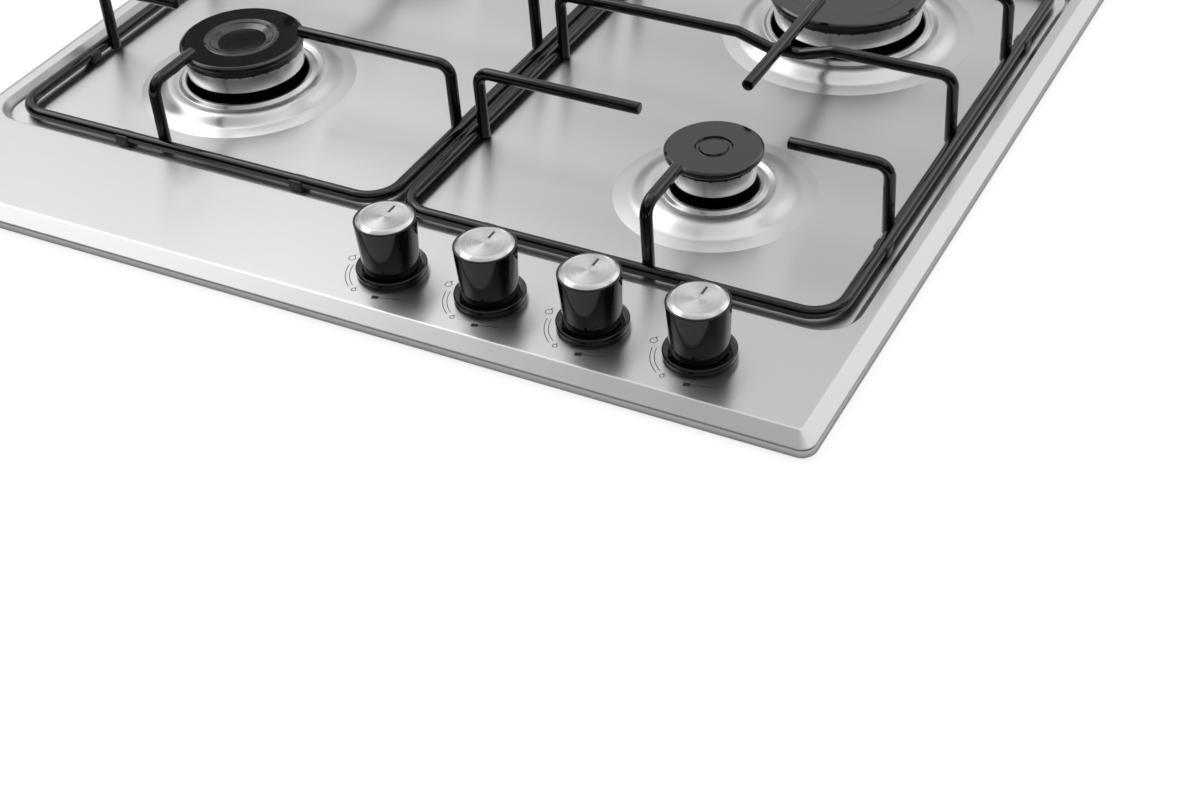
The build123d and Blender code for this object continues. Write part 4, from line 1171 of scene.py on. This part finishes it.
# ---------- pan supports ----------
@dataclass
class PanSupport:
    """One welded wire pan support with its rubber feet."""

    hand: Hand
    wire: float = 3.5
    bar_height: float = 54.9
    bar_inner: float = 5.1
    bar_outer: float = 262.5
    bar_front: float = -155.5
    bar_rear: float = 214.0
    loop_bend: float = 18.0
    finger_height: float = 93.5
    finger_bend: float = 7.5
    finger_reach: float = 44.5
    leg_inset: float = 4.2
    leg_foot: float = 51.2
    dip: float = 6.4
    dip_half: float = 30.0
    dip_flat: float = 10.0
    foot_top: float = 56.7
    foot_bottom: float = 50.0
    foot_inner: float = 56.0
    foot_outer: float = 80.0
    foot_side: float = 69.0
    foot_long: float = 9.0
    foot_wide: float = 8.8
    foot_round: float = 1.3

    def point(self, x: float, y: float, z: float) -> Vector:
        """A point of this support, from its distance to the middle of the cooktop."""
        return Vector((self.hand.value * x, y, z))

    def finger(
        self, bender: WireBender, root: tuple[float, float], tip: tuple[float, float],
    ) -> None:
        """Makes a leg inside the loop, bent over into a level finger.

        Args:
            bender: what bends the wire.
            root: the place of the leg, to the side and to the rear.
            tip: the place of the finger's end.
        """
        bender.length([
            self.point(*root, self.leg_foot), self.point(*root, self.finger_height),
            self.point(*tip, self.finger_height),
        ], self.finger_bend)

    def loop(self, bender: WireBender) -> None:
        """Makes the rounded loop that lies in the well.

        Args:
            bender: what bends the wire.
        """
        inner, outer, front, rear = self.bar_inner, self.bar_outer, self.bar_front, self.bar_rear
        middle = (inner + outer) / 2
        corners = [
            (middle, front), (outer, front), (outer, rear),
            (inner, rear), (inner, front), (middle, front),
        ]
        points = [self.point(x, y, self.bar_height) for x, y in corners]
        bender.start(points[0], points[1] - points[0])
        bender.follow(points, self.loop_bend)

    def wires(self, material: bpy.types.Material) -> None:
        """Makes the loop, the fingers, the cross bar and the long bar.

        Args:
            material: the material of the wire.
        """
        side = self.hand.name.lower()
        front = node_middle(f"flame_ring_front_{side}")
        rear = node_middle(f"flame_ring_rear_{side}")
        burner, middle = abs(front.x), (front.y + rear.y) / 2
        inner, outer = self.bar_inner + self.leg_inset, self.bar_outer - self.leg_inset
        piece = Workpiece(f"pan_support_wires_{side}")
        bender = WireBender(piece, self.wire)
        self.loop(bender)
        for centre, end, bar in ((front, -1, self.bar_front), (rear, 1, self.bar_rear)):
            self.finger(bender, (inner, centre.y), (burner - self.finger_reach, centre.y))
            self.finger(bender, (outer, centre.y), (burner + self.finger_reach, centre.y))
            tip = centre.y + end * self.finger_reach
            self.finger(bender, (burner, bar - end * self.leg_inset), (burner, tip))
        high, low = self.finger_height, self.finger_height - self.dip
        cross = [
            (inner, self.leg_foot), (inner, high), (burner - self.dip_half, high),
            (burner - self.dip_flat, low), (burner + self.dip_flat, low),
            (burner + self.dip_half, high), (outer, high), (outer, self.leg_foot),
        ]
        bender.length([self.point(x, middle, z) for x, z in cross], self.finger_bend)
        ends = (front.y + self.finger_reach, rear.y - self.finger_reach)
        bender.length([self.point(burner, y, high) for y in ends], self.finger_bend)
        body, node = f"support_{side}", f"pan_support_{side}"
        piece.done(body, material, [node], sharp=45.0)

    def feet(self, material: bpy.types.Material) -> None:
        """Makes the rubber feet clipped round the loop.

        Args:
            material: the material of the rubber.
        """
        side = self.hand.name.lower()
        piece = Workpiece(f"support_pads_{side}")
        across = (self.bar_inner + self.foot_inner, self.bar_outer - self.foot_outer)
        along = (self.bar_front + self.foot_side, self.bar_rear - self.foot_side)
        long, wide = self.foot_long, self.foot_wide
        places = [(x, y, long, wide) for x in across for y in (self.bar_front, self.bar_rear)]
        places += [(self.bar_outer, y, wide, long) for y in along]
        height = self.foot_top - self.foot_bottom
        for x, y, width, depth in places:
            matrix = Matrix.Translation(self.point(x, y, (self.foot_top + self.foot_bottom) / 2))
            matrix @= Matrix.Diagonal((width, depth, height, 1))
            made = bmesh.ops.create_cube(piece.mesh, size=1.0, matrix=matrix)
            edges = list({edge for vert in made["verts"] for edge in vert.link_edges})
            bmesh.ops.bevel(
                piece.mesh, geom=edges, offset=self.foot_round, offset_type="OFFSET", segments=4,
                profile=0.5, affect="EDGES", material=-1,
            )
        piece.done(f"support_{side}", material, [f"support_feet_{side}"])


# ---------- studio ----------
@dataclass(frozen=True)
class RoomPatch:
    """A patch of the room with soft edges, by the turn and the rise of its ends in degrees."""

    turn: tuple[float, float]
    rise: tuple[float, float]
    soft_turn: float
    soft_rise: float

    def inside(
        self, shader: Shader, turn: bpy.types.NodeSocket, rise: bpy.types.NodeSocket,
    ) -> bpy.types.NodeSocket:
        """Tells the patch from the rest of the room.

        Args:
            shader: the world's tree.
            turn: the turn of a direction, in degrees.
            rise: its rise, in degrees.

        Returns:
            One inside the patch and zero outside.
        """
        shares = []
        ranges = ((turn, self.turn, self.soft_turn), (rise, self.rise, self.soft_rise))
        for value, (low, high), soft in ranges:
            start = shader.spread(value, 0.0, 1.0, low - soft, low + soft, True)
            end = shader.spread(value, 1.0, 0.0, high - soft, high + soft, True)
            shares.append(shader.sum(start, end, "MULTIPLY"))
        return shader.sum(*shares, "MULTIPLY")


@dataclass
class Studio:
    """The camera, the light and the white worktop."""

    place: tuple[float, float, float] = (0.55848, -0.89905, 0.6735)
    right: tuple[float, float, float] = (0.89934351, 0.43575694, -0.03601576)
    down: tuple[float, float, float] = (0.24732613, -0.57491065, -0.77994072)
    forward: tuple[float, float, float] = (-0.36057043, 0.69252699, -0.62481624)
    lens: float = 60.13
    sensor: float = 36.0
    shift: tuple[float, float] = (-0.0619, -0.0370)
    clip: tuple[float, float] = (0.05, 20.0)
    worktop: float = 0.0451
    worktop_reach: float = 4.0
    worktop_glow: float = 0.82
    worktop_shaded: float = 0.25
    cut_out: tuple[float, float] = (0.279, 0.239)
    floor_tone: float = 0.88
    horizon: float = 0.3
    sides: float = 0.5
    sides_rise: tuple[float, float] = (-5.0, 20.0)
    behind_camera: float = 0.05
    rear_edge: tuple[float, float] = (-0.15, 0.15)
    over_left: float = 1.9
    over_right: float = 0.56
    over_edge: tuple[float, float] = (-0.66, -0.42)
    over_rear: float = 1.45
    panel_left: float = 1.08
    panel_right: float = 0.84
    panel_turn: tuple[float, float] = (-46.0, -34.0)
    panel_far: float = 1.62
    panel_far_turn: tuple[float, float] = (4.0, 22.0)
    panel_patch: RoomPatch = RoomPatch((-80.0, 45.0), (17.0, 52.0), 5.0, 4.0)
    gap: float = 0.05
    gap_patch: RoomPatch = RoomPatch((-45.0, -37.5), (25.0, 32.5), 2.0, 2.0)
    strip: float = 3.0
    strip_patch: RoomPatch = RoomPatch((-98.0, -60.0), (40.0, 60.0), 5.0, 4.0)
    over_rise: tuple[float, float] = (36.0, 44.0)
    over_rear_rise: float = 12.0
    key_place: tuple[float, float, float] = (-1.2, 0.6, 1.8)
    key_size: float = 0.9
    key_power: float = 3.0

    def camera(self) -> None:
        """Sets the camera where the photograph was taken from."""
        data = bpy.data.cameras.new("camera")
        data.sensor_fit = "HORIZONTAL"
        data.sensor_width = self.sensor
        data.lens = self.lens
        data.shift_x, data.shift_y = self.shift
        data.clip_start, data.clip_end = self.clip
        camera = show("camera", data)
        up, back = ([-part for part in axis] for axis in (self.down, self.forward))
        axes = Matrix((self.right, up, back)).transposed()
        camera.matrix_world = Matrix.Translation(self.place) @ axes.to_4x4()
        bpy.context.scene.camera = camera

    def worktop_finish(self) -> bpy.types.Material:
        """Makes a white that keeps the cooktop's shadow and is clear when seen from below.

        Returns:
            The material.
        """
        shader = Shader("white_worktop")
        plain = shader.add("BsdfDiffuse", {"Color": grey(self.floor_tone)}).outputs["BSDF"]
        light = {"Color": grey(1.0), "Strength": self.worktop_glow}
        glow = shader.add("Emission", light).outputs["Emission"]
        shaded = shader.add("BsdfDiffuse", {"Color": grey(self.worktop_shaded)}).outputs["BSDF"]
        white = shader.add("AddShader", {0: glow, 1: shaded}).outputs["Shader"]
        seen = shader.seen_directly()
        top = shader.add("MixShader", {0: seen, 1: plain, 2: white}).outputs["Shader"]
        clear = shader.add("BsdfTransparent").outputs["BSDF"]
        below = shader.add("NewGeometry").outputs["Backfacing"]
        surface = shader.add("MixShader", {0: below, 1: top, 2: clear}).outputs["Shader"]
        shader.add("OutputMaterial", {"Surface": surface})
        return shader.material

    def worktop_plane(self) -> None:
        """Makes the white worktop round the cut-out that the cooktop is let into."""
        data = bpy.data.meshes.new("worktop")
        mesh = bmesh.new()
        reach = self.worktop_reach
        for x, y in ((reach, reach), self.cut_out):
            matrix = Matrix.Translation((0, 0, self.worktop)) @ Matrix.Diagonal((x, y, 1, 1))
            bmesh.ops.create_grid(mesh, x_segments=1, y_segments=1, size=1.0, matrix=matrix)
        bmesh.ops.delete(mesh, geom=mesh.faces[:], context="FACES_ONLY")
        bmesh.ops.bridge_loops(mesh, edges=mesh.edges[:])
        bmesh.ops.recalc_face_normals(mesh, faces=mesh.faces[:])
        if mesh.faces[:][0].normal.z < 0:
            bmesh.ops.reverse_faces(mesh, faces=mesh.faces[:])
        mesh.to_mesh(data)
        mesh.free()
        data.materials.append(self.worktop_finish())
        plane = show("worktop", data)

    def world(self) -> None:
        """Lights the room with soft panels; the camera and clear rays see plain white."""
        world = bpy.data.worlds.new("room")
        bpy.context.scene.world = world
        world.use_nodes = True
        shader = Shader("room", world.node_tree)
        facing = shader.add("TexCoord").outputs["Generated"]
        way = shader.add("SeparateXYZ", {"Vector": facing}).outputs
        degrees = 180 / math.pi
        turn = shader.sum(shader.sum(way["X"], way["Y"], "ARCTAN2"), degrees, "MULTIPLY")
        rise = shader.sum(shader.sum(way["Z"], 0.0, "ARCSINE"), degrees, "MULTIPLY")
        rear = shader.spread(way["Y"], 0.0, 1.0, *self.rear_edge, True)
        low = shader.spread(rise, self.horizon, self.sides, *self.sides_rise, True)
        light = shader.between(rear, self.behind_camera, low)
        wide = shader.spread(turn, self.panel_left, self.panel_right, *self.panel_turn, True)
        further = self.panel_far - self.panel_right
        far = shader.spread(turn, 0.0, further, *self.panel_far_turn, True)
        panel = shader.sum(wide, far)
        light = shader.between(self.panel_patch.inside(shader, turn, rise), light, panel)
        light = shader.between(self.gap_patch.inside(shader, turn, rise), light, self.gap)
        over = shader.spread(way["X"], self.over_left, self.over_right, *self.over_edge)
        above = shader.between(rear, over, self.over_rear)
        lowered = shader.sum(rear, self.over_rear_rise, "MULTIPLY")
        start = shader.sum(rise, lowered, "SUBTRACT")
        overhead = shader.spread(start, 0.0, 1.0, *self.over_rise, True)
        light = shader.between(overhead, light, above)
        light = shader.between(self.strip_patch.inside(shader, turn, rise), light, self.strip)
        lit = {"Color": grey(1.0), "Strength": light}
        room = shader.add("Background", lit).outputs["Background"]
        plain = {"Color": grey(1.0), "Strength": 1.0}
        white = shader.add("Background", plain).outputs["Background"]
        seen = shader.seen_directly()
        shown = shader.add("MixShader", {0: seen, 1: room, 2: white}).outputs["Shader"]
        shader.add("OutputWorld", {"Surface": shown})

    def key_lamp(self) -> None:
        """Adds a soft square lamp that points at the middle of the cooktop."""
        data = bpy.data.lights.new("key", "AREA")
        data.size = self.key_size
        data.energy = self.key_power
        lamp = show("key", data)
        lamp.location = self.key_place
        lamp.rotation_euler = (-Vector(self.key_place)).to_track_quat("-Z", "Y").to_euler()

    def build(self) -> None:
        """Sets up the studio."""
        bpy.context.scene.view_settings.view_transform = "Standard"
        self.camera()
        self.worktop_plane()
        self.world()
        self.key_lamp()


# ---------- the whole cooktop ----------
def dress_nodes() -> None:
    """Gives every CAD node that still shows the finish of its slot in the record."""
    made: dict[str, bpy.types.Material] = {}
    for row in frame["record"]["subparts"]:
        slot = row["material_slot"]
        node = frame["nodes"][row["node"]]
        if slot not in made:
            made[slot] = FINISHES[slot].build()
        node.data.materials.clear()
        node.data.materials.append(made[slot])
    LOG.info("%d CAD nodes dressed in %d finishes", len(frame["nodes"]), len(made))


def main() -> None:
    """Builds the cooktop and its studio."""
    logging.basicConfig(level=logging.INFO, format="%(name)s: %(message)s")
    dress_nodes()
    PressedTop().build()
    black = FINISHES["knob_black"].build()
    bezels = Workpiece("knob_bezel_rings")
    for place in Place:
        knob = Knob(place)
        knob.body(black)
        knob.disc()
        knob.bezel(bezels)
    bezels.done("base", black, ["knob_bezels"])
    PrintedMarks().build()
    enamel = FINISHES["cap_enamel"].build()
    burners = [
        Burner(Place.FRONT_LEFT, MEDIUM_DISH), Burner(Place.REAR_LEFT, MEDIUM_DISH),
        Burner(Place.REAR_RIGHT, LARGE_DISH), Burner(Place.FRONT_RIGHT, SMALL_DISH),
    ]
    for burner in burners:
        burner.flame_ring()
        burner.cap(enamel)
    wire, rubber = FINISHES["wire_enamel"].build(), FINISHES["foot_rubber"].build()
    for hand in Hand:
        support = PanSupport(hand)
        support.wires(wire)
        support.feet(rubber)
    Studio().build()


if __name__ == "__main__":
    main()
